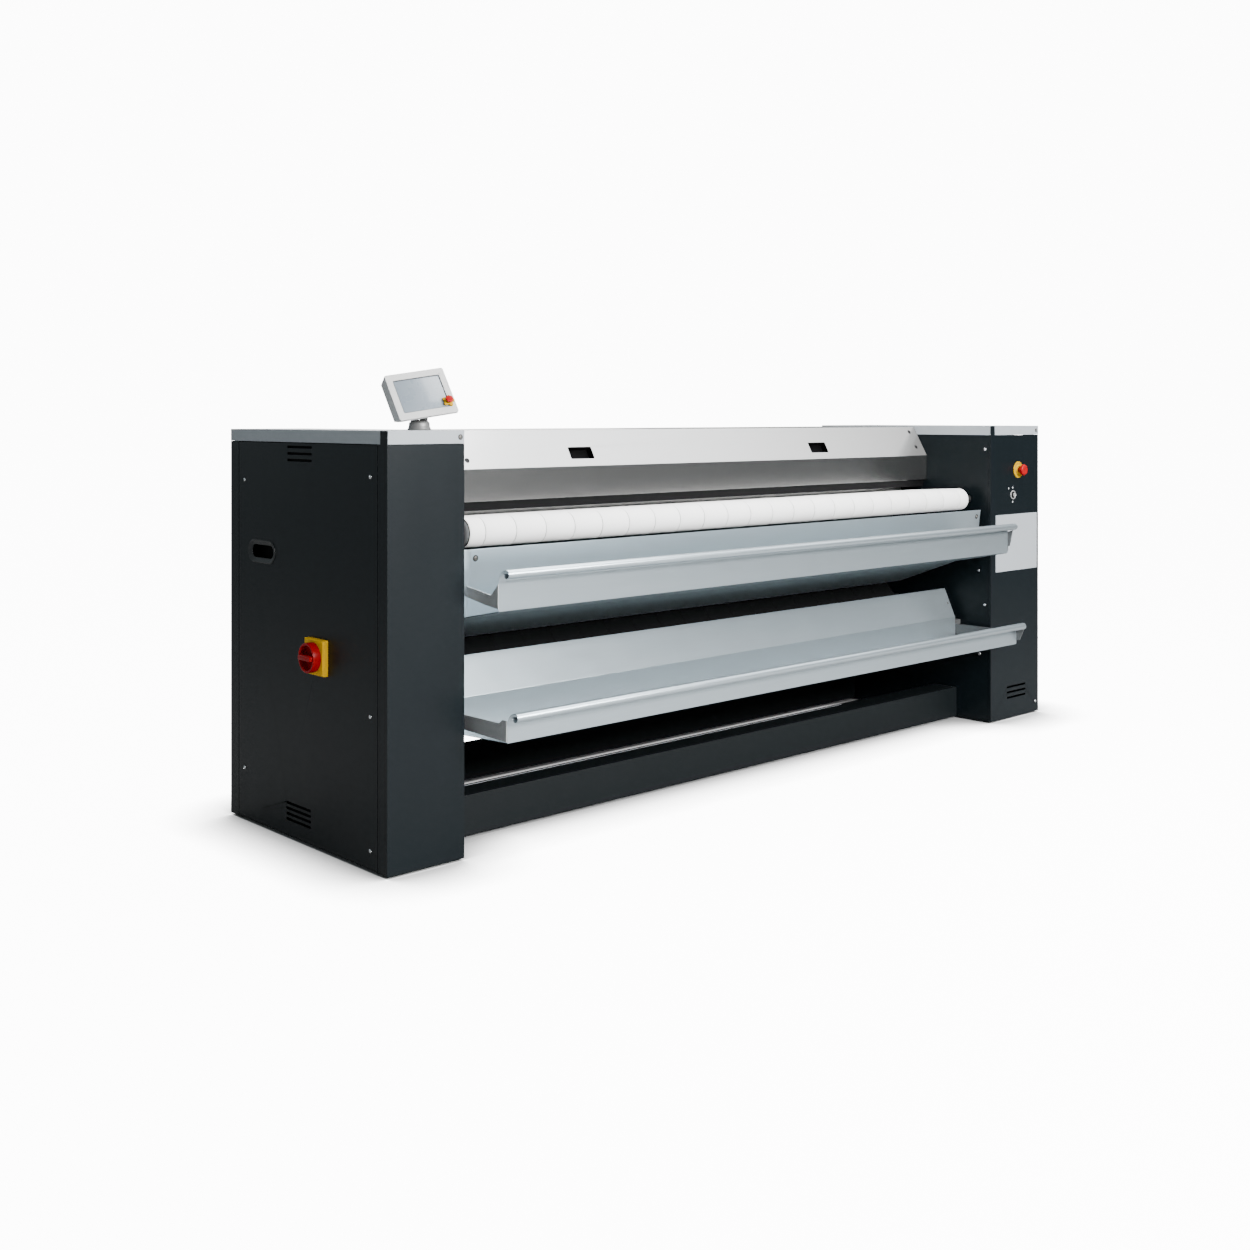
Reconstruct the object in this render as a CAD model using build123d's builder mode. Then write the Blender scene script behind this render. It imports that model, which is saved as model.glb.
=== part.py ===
from build123d import *
import math
import os

os.makedirs("parts", exist_ok=True)

# Flatwork ironer in millimetres: X across the width, Y from front to back, Z up.
# Two end cabinets carry the heated cylinder, its feed bands, ironing belts and
# drive. A hinged hood covers the cylinder and two linen trays hang in front.
# Places are measured from the casing's left face, its front face and the floor.

# Casing
overall_width = 2855
depth = 770
height = 1060
left_width = 225
right_width = 315
sheet = 1.5
plate = 10
cap_lip = 32.5
cover_bottom = 6
frame_inset = 20
rear_seam = depth - 46
cover_top = height - cap_lip - 0.5
panel_depth = 10.5
post_width = 30
foot_height = 12
foot_radius = 25

# Trays
tray_gap = 36
lower_lip = 126
upper_lip = 92
curl_radius = 30
tube_radius = 11
upper_rear_top = (24, height - 298)
upper_rear_foot = (46, height - 470)
upper_lip_foot = height - 442
upper_tube_top = height - 338.4
lower_foot = height - 770
lower_tube_top = height - 681

# Rolls
cylinder_place = (510, height - 232)
cylinder_radius = 162.5
cylinder_wall = 10
cylinder_journal = 30
feed_place = (92, height - 262)
feed_radius = 36
rear_feed_place = (312, height - 262)
rear_feed_radius = 23
entry_radius = 25
top_place = (664, height - 105)
top_radius = 22
tension_place = (660, height - 360)
tension_radius = 22
delivery_place = (405, height - 642)
delivery_radius = 30
journal_radius = 10
drum_gap = 57.5
band_thickness = 2
band_pitch = 100
belt_thickness = 2
belt_width = 100
belt_pitch = 110

# Fits and gaps
clear = 0.3
running = 0.05
belt_clear = 0.4

# Controls
isolator_place = (309, 490)
isolator_reach = 50
isolator_plate_depth = 15
isolator_shaft = 5
estop_place = (overall_width - 137, height - 160)
estop_stem = 9
key_place = (overall_width - 171, height - 250)
key_radius = 8
pivot_place = (150, 85, height + 37)
head_tilt = 33
head_turn = -16
head_size = (156, 132, 38)
head_front = (144.5, 67, height + 90.4)
spindle_radius = 6
pin_radius = 4

# Outlets
rear_reach = 60
spigot_radius = 50
fan_place = (overall_width - 150, height - 440)
gland_place = (120, 150)
gland_bore = 9

# Frame of the whole: the footprint of everything is centred on X and Y
inner_left = left_width
inner_right = overall_width - right_width
tray_reach = lower_lip + curl_radius - sheet + tube_radius
left = (isolator_reach - overall_width) / 2
front = (tray_reach - depth - rear_reach) / 2
frame_left = inner_left - sheet - plate
frame_right = inner_right + sheet + plate
drum_left = inner_left + drum_gap
drum_right = inner_right - drum_gap
roll_length = drum_right - drum_left
tray_left = inner_left + tray_gap
tray_right = inner_right - tray_gap
entry_gap = belt_thickness + 2 * belt_clear + 0.6
entry_distance = cylinder_radius + entry_gap + entry_radius
entry_place = (
    cylinder_place[0] - entry_distance * math.sin(math.radians(30)),
    cylinder_place[1] + entry_distance * math.cos(math.radians(30)),
)
roller_places = [
    feed_place,
    rear_feed_place,
    entry_place,
    top_place,
    tension_place,
    delivery_place,
]


def side_plane(x):
    """Sketch plane across the machine: local x runs back, local y runs up."""
    return Plane(origin=(left + x, front, 0), x_dir=(0, 1, 0), z_dir=(1, 0, 0))


def face_plane(y):
    """Sketch plane along the front: local x runs right, local y runs up."""
    return Plane(origin=(left, front + y, 0), x_dir=(1, 0, 0), z_dir=(0, -1, 0))


def floor_plane(z):
    """Sketch plane seen from above: local x runs right, local y runs back."""
    return Plane(origin=(left, front, z), x_dir=(1, 0, 0), z_dir=(0, 0, 1))


def block(low, high, mode=Mode.ADD):
    """Box between two corners."""
    size = [high[i] - low[i] for i in range(3)]
    with Locations((left + low[0], front + low[1], low[2])):
        Box(size[0], size[1], size[2], align=(Align.MIN, Align.MIN, Align.MIN), mode=mode)


def rod_x(place, radius, low, high, mode=Mode.ADD):
    """Round bar across the machine at a (y, z) place."""
    with BuildSketch(side_plane(low)) as outline:
        with Locations(place):
            Circle(radius)
    extrude(outline.sketch, amount=high - low, mode=mode)


def rod_y(place, radius, low, high, mode=Mode.ADD):
    """Round bar from front to back at an (x, z) place."""
    with BuildSketch(face_plane(high)) as outline:
        with Locations(place):
            Circle(radius)
    extrude(outline.sketch, amount=high - low, mode=mode)


def rod_z(place, radius, low, high, mode=Mode.ADD):
    """Upright round bar at an (x, y) place."""
    with BuildSketch(floor_plane(low)) as outline:
        with Locations(place):
            Circle(radius)
    extrude(outline.sketch, amount=high - low, mode=mode)


def slab(points, low, high, mode=Mode.ADD):
    """Plate across the machine with a (y, z) outline."""
    with BuildSketch(side_plane(low)) as outline:
        with BuildLine():
            Polyline(*points, close=True)
        make_face()
    extrude(outline.sketch, amount=high - low, mode=mode)


def folded(points, side, low, high, thickness=sheet):
    """Bent sheet running across the machine."""
    with BuildSketch(side_plane(low)) as outline:
        with BuildLine():
            Polyline(*points)
            offset(amount=thickness, side=side)
        make_face()
    extrude(outline.sketch, amount=high - low)


def wrapped(points, side, low, high):
    """Upright bent sheet with an (x, y) outline."""
    with BuildSketch(floor_plane(low)) as outline:
        with BuildLine():
            Polyline(*points)
            offset(amount=sheet, side=side)
        make_face()
    extrude(outline.sketch, amount=high - low)


def save(body, name):
    """Label one finished piece and write it out."""
    body.part.label = name
    export_step(body.part, f"parts/{name}.step")


# ---------------------------------------------------------------- end frames
foot_lines = (60, depth - 70)
foot_places_left = [(x, y) for y in foot_lines for x in (45, left_width - 40)]
foot_places_right = [(x, y) for y in foot_lines for x in (inner_right + 50, overall_width - 50)]
stud_radius = 6
guard_pivot = (284, height - 189)


def end_frame(plate_low, base_low, base_high, studs):
    """Upright side plate with shaft holes on a flat base plate."""
    frame_back = depth - frame_inset
    block((plate_low, frame_inset, foot_height), (plate_low + plate, frame_back, height - sheet))
    block((base_low, frame_inset, foot_height), (base_high, frame_back, foot_height + 6))
    cut_low = plate_low - 1
    cut_high = plate_low + plate + 1
    for place in roller_places:
        rod_x(place, journal_radius + 2, cut_low, cut_high, Mode.SUBTRACT)
    rod_x(cylinder_place, cylinder_journal + 3, cut_low, cut_high, Mode.SUBTRACT)
    rod_x(guard_pivot, pin_radius + running, cut_low, cut_high, Mode.SUBTRACT)
    for stud in studs:
        rod_z(stud, stud_radius + clear, foot_height - 1, foot_height + 7, Mode.SUBTRACT)


with BuildPart() as left_frame:
    end_frame(frame_left, panel_depth + sheet, frame_left + 1, foot_places_left)
save(left_frame, "left_frame")

with BuildPart() as right_frame:
    base_end = overall_width - panel_depth - sheet
    end_frame(frame_right - plate, frame_right - 1, base_end, foot_places_right)
save(right_frame, "right_frame")

with BuildPart() as levelling_feet:
    for place in foot_places_left + foot_places_right:
        rod_z(place, foot_radius, 0, foot_height)
        rod_z(place, stud_radius, foot_height, 40)
save(levelling_feet, "levelling_feet")

with BuildPart() as front_beam:
    folded([(239, 112), (143, 112), (143, 8), (239, 8)], Side.LEFT, inner_left, inner_right, 3)
save(front_beam, "front_beam")

with BuildPart() as rear_beam:
    folded([(646, 112), (606, 112), (606, 8), (646, 8)], Side.LEFT, inner_left, inner_right, 3)
save(rear_beam, "rear_beam")

# ---------------------------------------------------------------- left cabinet
vent_length = 122
vent_height = 7


def vent_row(place_y, heights, low, high):
    """Row of slots through a side panel."""
    with BuildSketch(side_plane(low)) as outline:
        for z in heights:
            with Locations((place_y, z)):
                SlotOverall(vent_length, vent_height)
    extrude(outline.sketch, amount=high - low, mode=Mode.SUBTRACT)


def side_panel(face_low, shell_low, shell_high):
    """Shallow tray-shaped panel whose rim rests on the cover lips."""
    panel_back = rear_seam - 2
    panel_top = cover_top - 2
    block((shell_low, 42, 8), (shell_high, panel_back, panel_top))
    pocket_low = face_low + sheet if face_low == shell_low else shell_low
    pocket_high = shell_high if face_low == shell_low else face_low
    pocket_top = (pocket_high, panel_back - sheet, panel_top - sheet)
    block((pocket_low, 43.5, 9.5), pocket_top, Mode.SUBTRACT)
    top_vents = (height - 45, height - 62, height - 79)
    vent_row(403, top_vents, shell_low - 1, shell_high + 1)
    vent_row(407, (93, 79, 65, 51), shell_low - 1, shell_high + 1)


grip_place = (597, height - 325.5)
grip_size = (130, 51)

with BuildPart() as left_front_cover:
    left_front_outline = [
        (panel_depth, 58),
        (panel_depth, 40),
        (0, 40),
        (0, 0),
        (inner_left, 0),
        (inner_left, 6),
    ]
    wrapped(left_front_outline, Side.LEFT, cover_bottom, cover_top)
    block((0, 0, cover_top), (sheet, post_width, height))
save(left_front_cover, "left_front_cover")

with BuildPart() as left_side_panel:
    side_panel(0, 0, panel_depth)
    with BuildSketch(side_plane(-1)):
        with Locations(grip_place):
            SlotOverall(grip_size[0], grip_size[1])
        with Locations(isolator_place):
            Circle(isolator_shaft + 3)
    extrude(amount=panel_depth, mode=Mode.SUBTRACT)
save(left_side_panel, "left_side_panel")

with BuildPart() as left_grip_cup:
    with BuildSketch(side_plane(sheet)):
        with Locations(grip_place):
            SlotOverall(grip_size[0] + 14, grip_size[1] + 14)
    extrude(amount=sheet)
    with BuildSketch(side_plane(2 * sheet)):
        with Locations(grip_place):
            SlotOverall(grip_size[0] + 2 * sheet, grip_size[1] + 2 * sheet)
    extrude(amount=24)
    with BuildSketch(side_plane(sheet)):
        with Locations(grip_place):
            SlotOverall(grip_size[0], grip_size[1])
    extrude(amount=24, mode=Mode.SUBTRACT)
save(left_grip_cup, "left_grip_cup")


def inner_cover(low, high):
    """Sheet between a cabinet and the ironing space, pierced for the shafts."""
    block((low, 6.5, cover_bottom), (high, depth - 6.5, cover_top))
    for place in roller_places:
        rod_x(place, journal_radius + 4, low - 1, high + 1, Mode.SUBTRACT)
    rod_x(cylinder_place, cylinder_journal + 6, low - 1, high + 1, Mode.SUBTRACT)
    rod_x(guard_pivot, pin_radius + running, low - 1, high + 1, Mode.SUBTRACT)


with BuildPart() as left_inner_cover:
    inner_cover(inner_left - sheet, inner_left)
save(left_inner_cover, "left_inner_cover")

with BuildPart() as left_rear_cover:
    left_rear_outline = [
        (panel_depth, rear_seam - 18),
        (panel_depth, rear_seam),
        (0, rear_seam),
        (0, depth),
        (inner_left, depth),
        (inner_left, depth - 6),
    ]
    wrapped(left_rear_outline, Side.RIGHT, cover_bottom, cover_top)
    rod_y(gland_place, gland_bore + 7 + clear, depth - 5, depth + 5, Mode.SUBTRACT)
save(left_rear_cover, "left_rear_cover")


def cap_shell(low, high):
    """Shallow lid with a lip on all four sides."""
    block((low, 0, height - cap_lip), (high, depth, height))
    block(
        (low + sheet, sheet, height - cap_lip),
        (high - sheet, depth - sheet, height - sheet),
        Mode.SUBTRACT,
    )


with BuildPart() as left_cap:
    cap_shell(0, inner_left)
    notch_top = (sheet + 0.5, post_width + 0.5, height + 1)
    block((-1, -1, height - cap_lip - 1), notch_top, Mode.SUBTRACT)
save(left_cap, "left_cap")

# ---------------------------------------------------------------- right cabinet
right_post_end = inner_right + 27
blank_low = (inner_right + 31, height - 524)
blank_high = (overall_width - 13, height - 320)

with BuildPart() as right_front_cover:
    right_front_outline = [
        (inner_right, 6),
        (inner_right, 0),
        (overall_width, 0),
        (overall_width, 40),
        (overall_width - panel_depth, 40),
        (overall_width - panel_depth, 58),
    ]
    wrapped(right_front_outline, Side.LEFT, cover_bottom, cover_top)
    block((inner_right, 0, cover_top), (right_post_end, sheet, height))
    block(
        (blank_low[0] + 15, -1, blank_low[1] + 15),
        (blank_high[0] - 15, sheet + 1, blank_high[1] - 15),
        Mode.SUBTRACT,
    )
    with BuildSketch(face_plane(sheet + 1)):
        for z in (116, 97, 78):
            with Locations((overall_width - 149, z)):
                SlotOverall(vent_length, vent_height)
        with Locations(estop_place):
            Circle(12 + clear)
        with Locations(key_place):
            Circle(11 + clear)
    extrude(amount=sheet + 2, mode=Mode.SUBTRACT)
save(right_front_cover, "right_front_cover")

with BuildPart() as front_blank_plate:
    block((blank_low[0], -sheet, blank_low[1]), (blank_high[0], 0, blank_high[1]))
    fillet(front_blank_plate.edges().filter_by(Axis.Y), 3)
save(front_blank_plate, "front_blank_plate")

screw_line = depth - 79
flush_screws_right = [(screw_line, height - 137), (73, height - 111), (73, 374), (screw_line, 143)]
screw_radius = 5

with BuildPart() as right_side_panel:
    side_panel(overall_width - sheet, overall_width - panel_depth, overall_width)
    for place in flush_screws_right:
        hole_low = overall_width - sheet - 1
        rod_x(place, screw_radius + clear, hole_low, overall_width + 1, Mode.SUBTRACT)
save(right_side_panel, "right_side_panel")

with BuildPart() as right_inner_cover:
    inner_cover(inner_right, inner_right + sheet)
save(right_inner_cover, "right_inner_cover")

with BuildPart() as right_rear_cover:
    right_rear_outline = [
        (inner_right, depth - 6),
        (inner_right, depth),
        (overall_width, depth),
        (overall_width, rear_seam),
        (overall_width - panel_depth, rear_seam),
        (overall_width - panel_depth, rear_seam - 18),
    ]
    wrapped(right_rear_outline, Side.RIGHT, cover_bottom, cover_top)
    rod_y(fan_place, spigot_radius + clear, depth - 5, depth + 5, Mode.SUBTRACT)
save(right_rear_cover, "right_rear_cover")

with BuildPart() as right_cap:
    cap_shell(inner_right, overall_width)
    notch_low = (inner_right - 1, -1, height - cap_lip - 1)
    block(notch_low, (right_post_end + 0.5, sheet + 0.5, height + 1), Mode.SUBTRACT)
save(right_cap, "right_cap")

# ---------------------------------------------------------------- rear cover, hood
hinge_place = (depth - 70, height - 14)
hood_top = height - 5
hinge_centres = [inner_left + 200, (inner_left + inner_right) / 2, inner_right - 200]
hood_barrel = 40
rear_barrel = 25
barrel_gap = 0.5

with BuildPart() as rear_cover:
    flange = hinge_place[0] + 10
    rear_outline = [(flange, hood_top), (depth, hood_top), (depth, 120)]
    folded(rear_outline, Side.RIGHT, inner_left, inner_right)
    lug_low = hinge_place[1] - 6.5
    for centre in hinge_centres:
        for turn in (-1, 1):
            middle = centre + turn * (hood_barrel / 2 + barrel_gap + rear_barrel / 2)
            low = middle - rear_barrel / 2
            high = middle + rear_barrel / 2
            rod_x(hinge_place, 7, low, high)
            block((low, hinge_place[0], lug_low), (high, flange + 10, lug_low + 4.5))
            block((low, flange + 1, lug_low), (high, flange + 10, hood_top - sheet))
            rod_x(hinge_place, pin_radius + running, low - 1, high + 1, Mode.SUBTRACT)
save(rear_cover, "rear_cover")

with BuildPart() as hood_hinge_pins:
    pin_half = hood_barrel / 2 + barrel_gap + rear_barrel + 2
    for centre in hinge_centres:
        rod_x(hinge_place, pin_radius, centre - pin_half, centre + pin_half)
save(hood_hinge_pins, "hood_hinge_pins")

hood_left = inner_left + 3
hood_right = inner_right - 3
slope_low = (270, hood_top - 105)
slope_high = (329, hood_top)
slope_length = math.dist(slope_low, slope_high)
slope_back = (slope_high[0] - slope_low[0]) / slope_length
slope_up = (slope_high[1] - slope_low[1]) / slope_length
hood_grip_size = (90, 39)
hood_grip_centres = [inner_left + 636, inner_right - 603]
grip_along = 43.6


def slope_plane(x, along, rise=0.0):
    """Plane lying on the hood's slanted face, its normal pointing outwards."""
    y = slope_low[0] + along * slope_back - rise * slope_up
    z = slope_low[1] + along * slope_up + rise * slope_back
    normal = (0, -slope_up, slope_back)
    return Plane(origin=(left + x, front + y, z), x_dir=(1, 0, 0), z_dir=normal)


with BuildPart() as hood:
    hood_foot = (slope_low[0], height - 198)
    hood_outline = [hood_foot, slope_low, slope_high, (hinge_place[0] - 1, hood_top)]
    folded(hood_outline, Side.RIGHT, hood_left, hood_right)
    for centre in hinge_centres:
        low = centre - hood_barrel / 2
        high = centre + hood_barrel / 2
        rod_x(hinge_place, 7, low, high)
        pad_low = (low, hinge_place[0] - 16, hinge_place[1] + 1)
        block(pad_low, (high, hinge_place[0], hood_top - sheet))
        rod_x(hinge_place, pin_radius + running, low - 1, high + 1, Mode.SUBTRACT)
    for centre in hood_grip_centres:
        with BuildSketch(slope_plane(centre, grip_along, 3)):
            RectangleRounded(hood_grip_size[0], hood_grip_size[1], 4)
        extrude(amount=-6, mode=Mode.SUBTRACT)
save(hood, "hood")

with BuildPart() as hood_cheeks:
    cheek_front = slope_low[0] + sheet
    cheek_knee = slope_low[1] - sheet * (1 - slope_up) / slope_back
    cheek_top = hood_top - sheet
    cheek_shoulder = slope_low[0] + (sheet + (cheek_top - slope_low[1]) * slope_back) / slope_up
    cheek = [
        (cheek_front, hood_foot[1] + 18),
        (cheek_front, cheek_knee),
        (cheek_shoulder, cheek_top),
        (hinge_place[0] - 1, cheek_top),
        (hinge_place[0] - 1, cheek_top - 39),
        (cheek_shoulder + 22, cheek_top - 39),
        (cheek_front + 40, cheek_knee - 9),
        (cheek_front + 40, hood_foot[1] + 18),
    ]
    slab(cheek, hood_left, hood_left + sheet)
    slab(cheek, hood_right - sheet, hood_right)
save(hood_cheeks, "hood_cheeks")

with BuildPart() as hood_grip_cups:
    for centre in hood_grip_centres:
        with BuildSketch(slope_plane(centre, grip_along, -sheet)):
            RectangleRounded(hood_grip_size[0] + 12, hood_grip_size[1] + 12, 4)
        extrude(amount=-sheet)
        with BuildSketch(slope_plane(centre, grip_along, -2 * sheet)):
            RectangleRounded(hood_grip_size[0] + 3, hood_grip_size[1] + 3, 4)
        extrude(amount=-20)
        with BuildSketch(slope_plane(centre, grip_along, -sheet)):
            RectangleRounded(hood_grip_size[0], hood_grip_size[1], 3)
        extrude(amount=-20, mode=Mode.SUBTRACT)
save(hood_grip_cups, "hood_grip_cups")

with BuildPart() as finger_guard:
    guard_shape = ((-4, 4), (4, 4), (14, -33), (6, -35))
    guard_outline = [(guard_pivot[0] + y, guard_pivot[1] + z) for y, z in guard_shape]
    slab(guard_outline, hood_left, hood_right)
    rod_x(guard_pivot, pin_radius, frame_left, hood_left + 5)
    rod_x(guard_pivot, pin_radius, hood_right - 5, frame_right)
save(finger_guard, "finger_guard")

# ---------------------------------------------------------------- rolls
bush_length = 14
bearing_length = 30
feed_chain_place = frame_right + 34
main_chain_place = frame_right + 46
feed_wheel = 108
feed_pinion = feed_wheel * feed_radius / cylinder_radius
chain_width = 8


def roller(place, radius, left_end=0.0, right_end=0.0):
    """Drum with hubs and a journal running out through both frames."""
    rod_x(place, radius, drum_left, drum_right)
    rod_x(place, journal_radius + 5, drum_left - 8, drum_right + 8)
    rod_x(place, journal_radius, frame_left - bush_length - 2 - left_end, drum_left)
    rod_x(place, journal_radius, drum_right, frame_right + bush_length + 2 + right_end)


def toothed_wheel(place, radius, teeth, low, high):
    """Chain wheel with a ring of roller notches."""
    rod_x(place, radius, low, high)
    with BuildSketch(side_plane(low)) as outline:
        with Locations(place):
            with PolarLocations(radius, teeth):
                Circle(3)
    extrude(outline.sketch, amount=high - low, mode=Mode.SUBTRACT)


with BuildPart() as feed_roller:
    roller(feed_place, feed_radius, 0, 30)
    wheel_end = feed_chain_place + chain_width
    toothed_wheel(feed_place, feed_pinion, 12, feed_chain_place, wheel_end)
save(feed_roller, "feed_roller")

with BuildPart() as feed_rear_roller:
    roller(rear_feed_place, rear_feed_radius)
save(feed_rear_roller, "feed_rear_roller")

with BuildPart() as belt_entry_roller:
    roller(entry_place, entry_radius)
save(belt_entry_roller, "belt_entry_roller")

with BuildPart() as belt_top_roller:
    roller(top_place, top_radius)
save(belt_top_roller, "belt_top_roller")

with BuildPart() as belt_tension_roller:
    roller(tension_place, tension_radius)
save(belt_tension_roller, "belt_tension_roller")

with BuildPart() as delivery_roller:
    roller(delivery_place, delivery_radius)
save(delivery_roller, "delivery_roller")

with BuildPart() as cylinder:
    rod_x(cylinder_place, cylinder_radius, drum_left, drum_right)
    hollow = cylinder_radius - cylinder_wall
    rod_x(cylinder_place, hollow, drum_left + 10, drum_right - 10, Mode.SUBTRACT)
    rod_x(cylinder_place, cylinder_journal, frame_left - bearing_length - 4, drum_left + 10)
    rod_x(cylinder_place, cylinder_journal, drum_right - 10, frame_right + 62)
    bore_low = frame_left - bearing_length - 5
    rod_x(cylinder_place, cylinder_journal - 8, bore_low, frame_right + 63, Mode.SUBTRACT)
save(cylinder, "cylinder")

with BuildPart() as cylinder_bearings:
    for low in (frame_left - bearing_length, frame_right):
        rod_x(cylinder_place, cylinder_journal + 22, low, low + bearing_length)
        high = low + bearing_length
        rod_x(cylinder_place, cylinder_journal + running, low, high, Mode.SUBTRACT)
save(cylinder_bearings, "cylinder_bearings")

with BuildPart() as roller_bearings:
    for low in (frame_left - bush_length, frame_right):
        for place in roller_places:
            rod_x(place, journal_radius + 8, low, low + bush_length)
            high = low + bush_length
            rod_x(place, journal_radius + running, low, high, Mode.SUBTRACT)
save(roller_bearings, "roller_bearings")

heater_radius = 6

with BuildPart() as heating_elements:
    heater_ends = ((frame_left - 60, -1), (frame_right + 84, 1))
    rod_low = heater_ends[0][0]
    rod_high = heater_ends[1][0]
    for angle in (90, 210, 330):
        place = (
            cylinder_place[0] + 12 * math.cos(math.radians(angle)),
            cylinder_place[1] + 12 * math.sin(math.radians(angle)),
        )
        rod_x(place, heater_radius, rod_low, rod_high)
    arm_top = cylinder_place[1] + feed_wheel + 30
    for end, turn in heater_ends:
        arm = sorted((end, end + 6 * turn))
        arm_low = (arm[0], cylinder_place[0] - 25, cylinder_place[1] - 28)
        block(arm_low, (arm[1], cylinder_place[0] + 25, arm_top))
        reach = sorted((end, frame_left if turn < 0 else frame_right))
        block(
            (reach[0], cylinder_place[0] - 25, arm_top - 8),
            (reach[1], cylinder_place[0] + 25, arm_top),
        )
save(heating_elements, "heating_elements")

band_outer = band_thickness + clear
band_seams = [drum_left]
band_count = int((roll_length - band_pitch / 2) / band_pitch) + 1
band_seams += [drum_left + band_pitch * (i + 0.5) for i in range(band_count)]
band_seams += [drum_right]

with BuildPart() as feed_bands:
    for seam, next_seam in zip(band_seams, band_seams[1:]):
        with BuildSketch(side_plane(seam + 0.5)):
            with Locations(feed_place):
                Circle(feed_radius + band_outer)
            with Locations(rear_feed_place):
                Circle(rear_feed_radius + band_outer)
            make_hull()
        extrude(amount=next_seam - seam - 1)
        with BuildSketch(side_plane(seam)):
            with Locations(feed_place):
                Circle(feed_radius + clear)
            with Locations(rear_feed_place):
                Circle(rear_feed_radius + clear)
            make_hull()
        extrude(amount=next_seam - seam, mode=Mode.SUBTRACT)
save(feed_bands, "feed_bands")

# The ironing belts lie on the cylinder and turn round four rollers. Each station
# is a centre, a radius and +1 for the belt's inside or -1 for its outside.
belt_middle = belt_clear + belt_thickness / 2
belt_stations = [
    (entry_place, entry_radius + belt_middle),
    (cylinder_place, -cylinder_radius - belt_middle),
    (delivery_place, delivery_radius + belt_middle),
    (tension_place, tension_radius + belt_middle),
    (top_place, top_radius + belt_middle),
]


def belt_outline(shift):
    """Closed outline of the belt's path, moved outwards by the shift."""
    places = [station[0] for station in belt_stations]
    turns = [station[1] + shift for station in belt_stations]
    count = len(places)
    headings = []
    for i in range(count):
        near, far = places[i], places[(i + 1) % count]
        along = math.atan2(far[1] - near[1], far[0] - near[0])
        ratio = (turns[(i + 1) % count] - turns[i]) / math.dist(near, far)
        headings.append(along - math.asin(max(-1, min(1, ratio))))
    for i in range(count):
        before, after = headings[i - 1], headings[i]
        side = 1 if turns[i] > 0 else -1
        sweep = (side * (after - before)) % (2 * math.pi)
        start = math.degrees(before) - 90 * side
        CenterArc(places[i], abs(turns[i]), start, side * math.degrees(sweep))
        normal = (-math.sin(after), math.cos(after))
        next_turn = turns[(i + 1) % count]
        next_place = places[(i + 1) % count]
        begin = (places[i][0] - turns[i] * normal[0], places[i][1] - turns[i] * normal[1])
        end = (next_place[0] - next_turn * normal[0], next_place[1] - next_turn * normal[1])
        if math.dist(begin, end) > 0.001:
            Line(begin, end)


belt_inset = 5
belt_count = int((roll_length - belt_inset - belt_width) / belt_pitch) + 1
belt_starts = [drum_left + belt_inset + belt_pitch * i for i in range(belt_count)]

with BuildPart() as ironing_belts:
    for start in belt_starts:
        with BuildSketch(side_plane(start)):
            with BuildLine():
                belt_outline(belt_thickness / 2)
            make_face()
            with BuildLine():
                belt_outline(-belt_thickness / 2)
            make_face(mode=Mode.SUBTRACT)
        extrude(amount=belt_width)
save(ironing_belts, "ironing_belts")

# ---------------------------------------------------------------- drive and exhaust
main_wheel = 90
drive_wheel = 40
motor_place = (510, 300)
motor_low = frame_right + 68

with BuildPart() as cylinder_sprocket:
    rod_x(cylinder_place, cylinder_journal + 12, feed_chain_place - 2, main_chain_place + 14)
    feed_end = feed_chain_place + chain_width
    toothed_wheel(cylinder_place, feed_wheel, 54, feed_chain_place, feed_end)
    main_end = main_chain_place + chain_width
    toothed_wheel(cylinder_place, main_wheel, 45, main_chain_place, main_end)
    bore_low = feed_chain_place - 3
    bore_high = main_chain_place + 15
    rod_x(cylinder_place, cylinder_journal + running, bore_low, bore_high, Mode.SUBTRACT)
save(cylinder_sprocket, "cylinder_sprocket")

with BuildPart() as drive_sprocket:
    main_end = main_chain_place + chain_width
    toothed_wheel(motor_place, drive_wheel, 20, main_chain_place, main_end)
    rod_x(motor_place, journal_radius, main_chain_place - 4, motor_low + 30)
save(drive_sprocket, "drive_sprocket")


def chain_loop(first, first_radius, second, second_radius, low):
    """Closed chain drawn as a plain loop round two wheels."""
    with BuildSketch(side_plane(low)) as outline:
        with Locations(first):
            Circle(first_radius + clear + chain_width)
        with Locations(second):
            Circle(second_radius + clear + chain_width)
        make_hull()
    extrude(outline.sketch, amount=chain_width - 2)
    with BuildSketch(side_plane(low)) as outline:
        with Locations(first):
            Circle(first_radius + clear)
        with Locations(second):
            Circle(second_radius + clear)
        make_hull()
    extrude(outline.sketch, amount=chain_width - 2, mode=Mode.SUBTRACT)


with BuildPart() as drive_chains:
    chain_loop(cylinder_place, feed_wheel, feed_place, feed_pinion, feed_chain_place + 1)
    chain_loop(cylinder_place, main_wheel, motor_place, drive_wheel, main_chain_place + 1)
save(drive_chains, "drive_chains")

with BuildPart() as drive_motor:
    rod_x(motor_place, 70, motor_low, motor_low + 180)
    block((motor_low + 20, 450, foot_height + 6), (motor_low + 150, 570, 235))
    bore_end = motor_low + 32
    rod_x(motor_place, journal_radius + running, motor_low - 1, bore_end, Mode.SUBTRACT)
save(drive_motor, "drive_motor")

fan_radius = 85
fan_front = depth - 120
fan_shaft = 5

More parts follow.
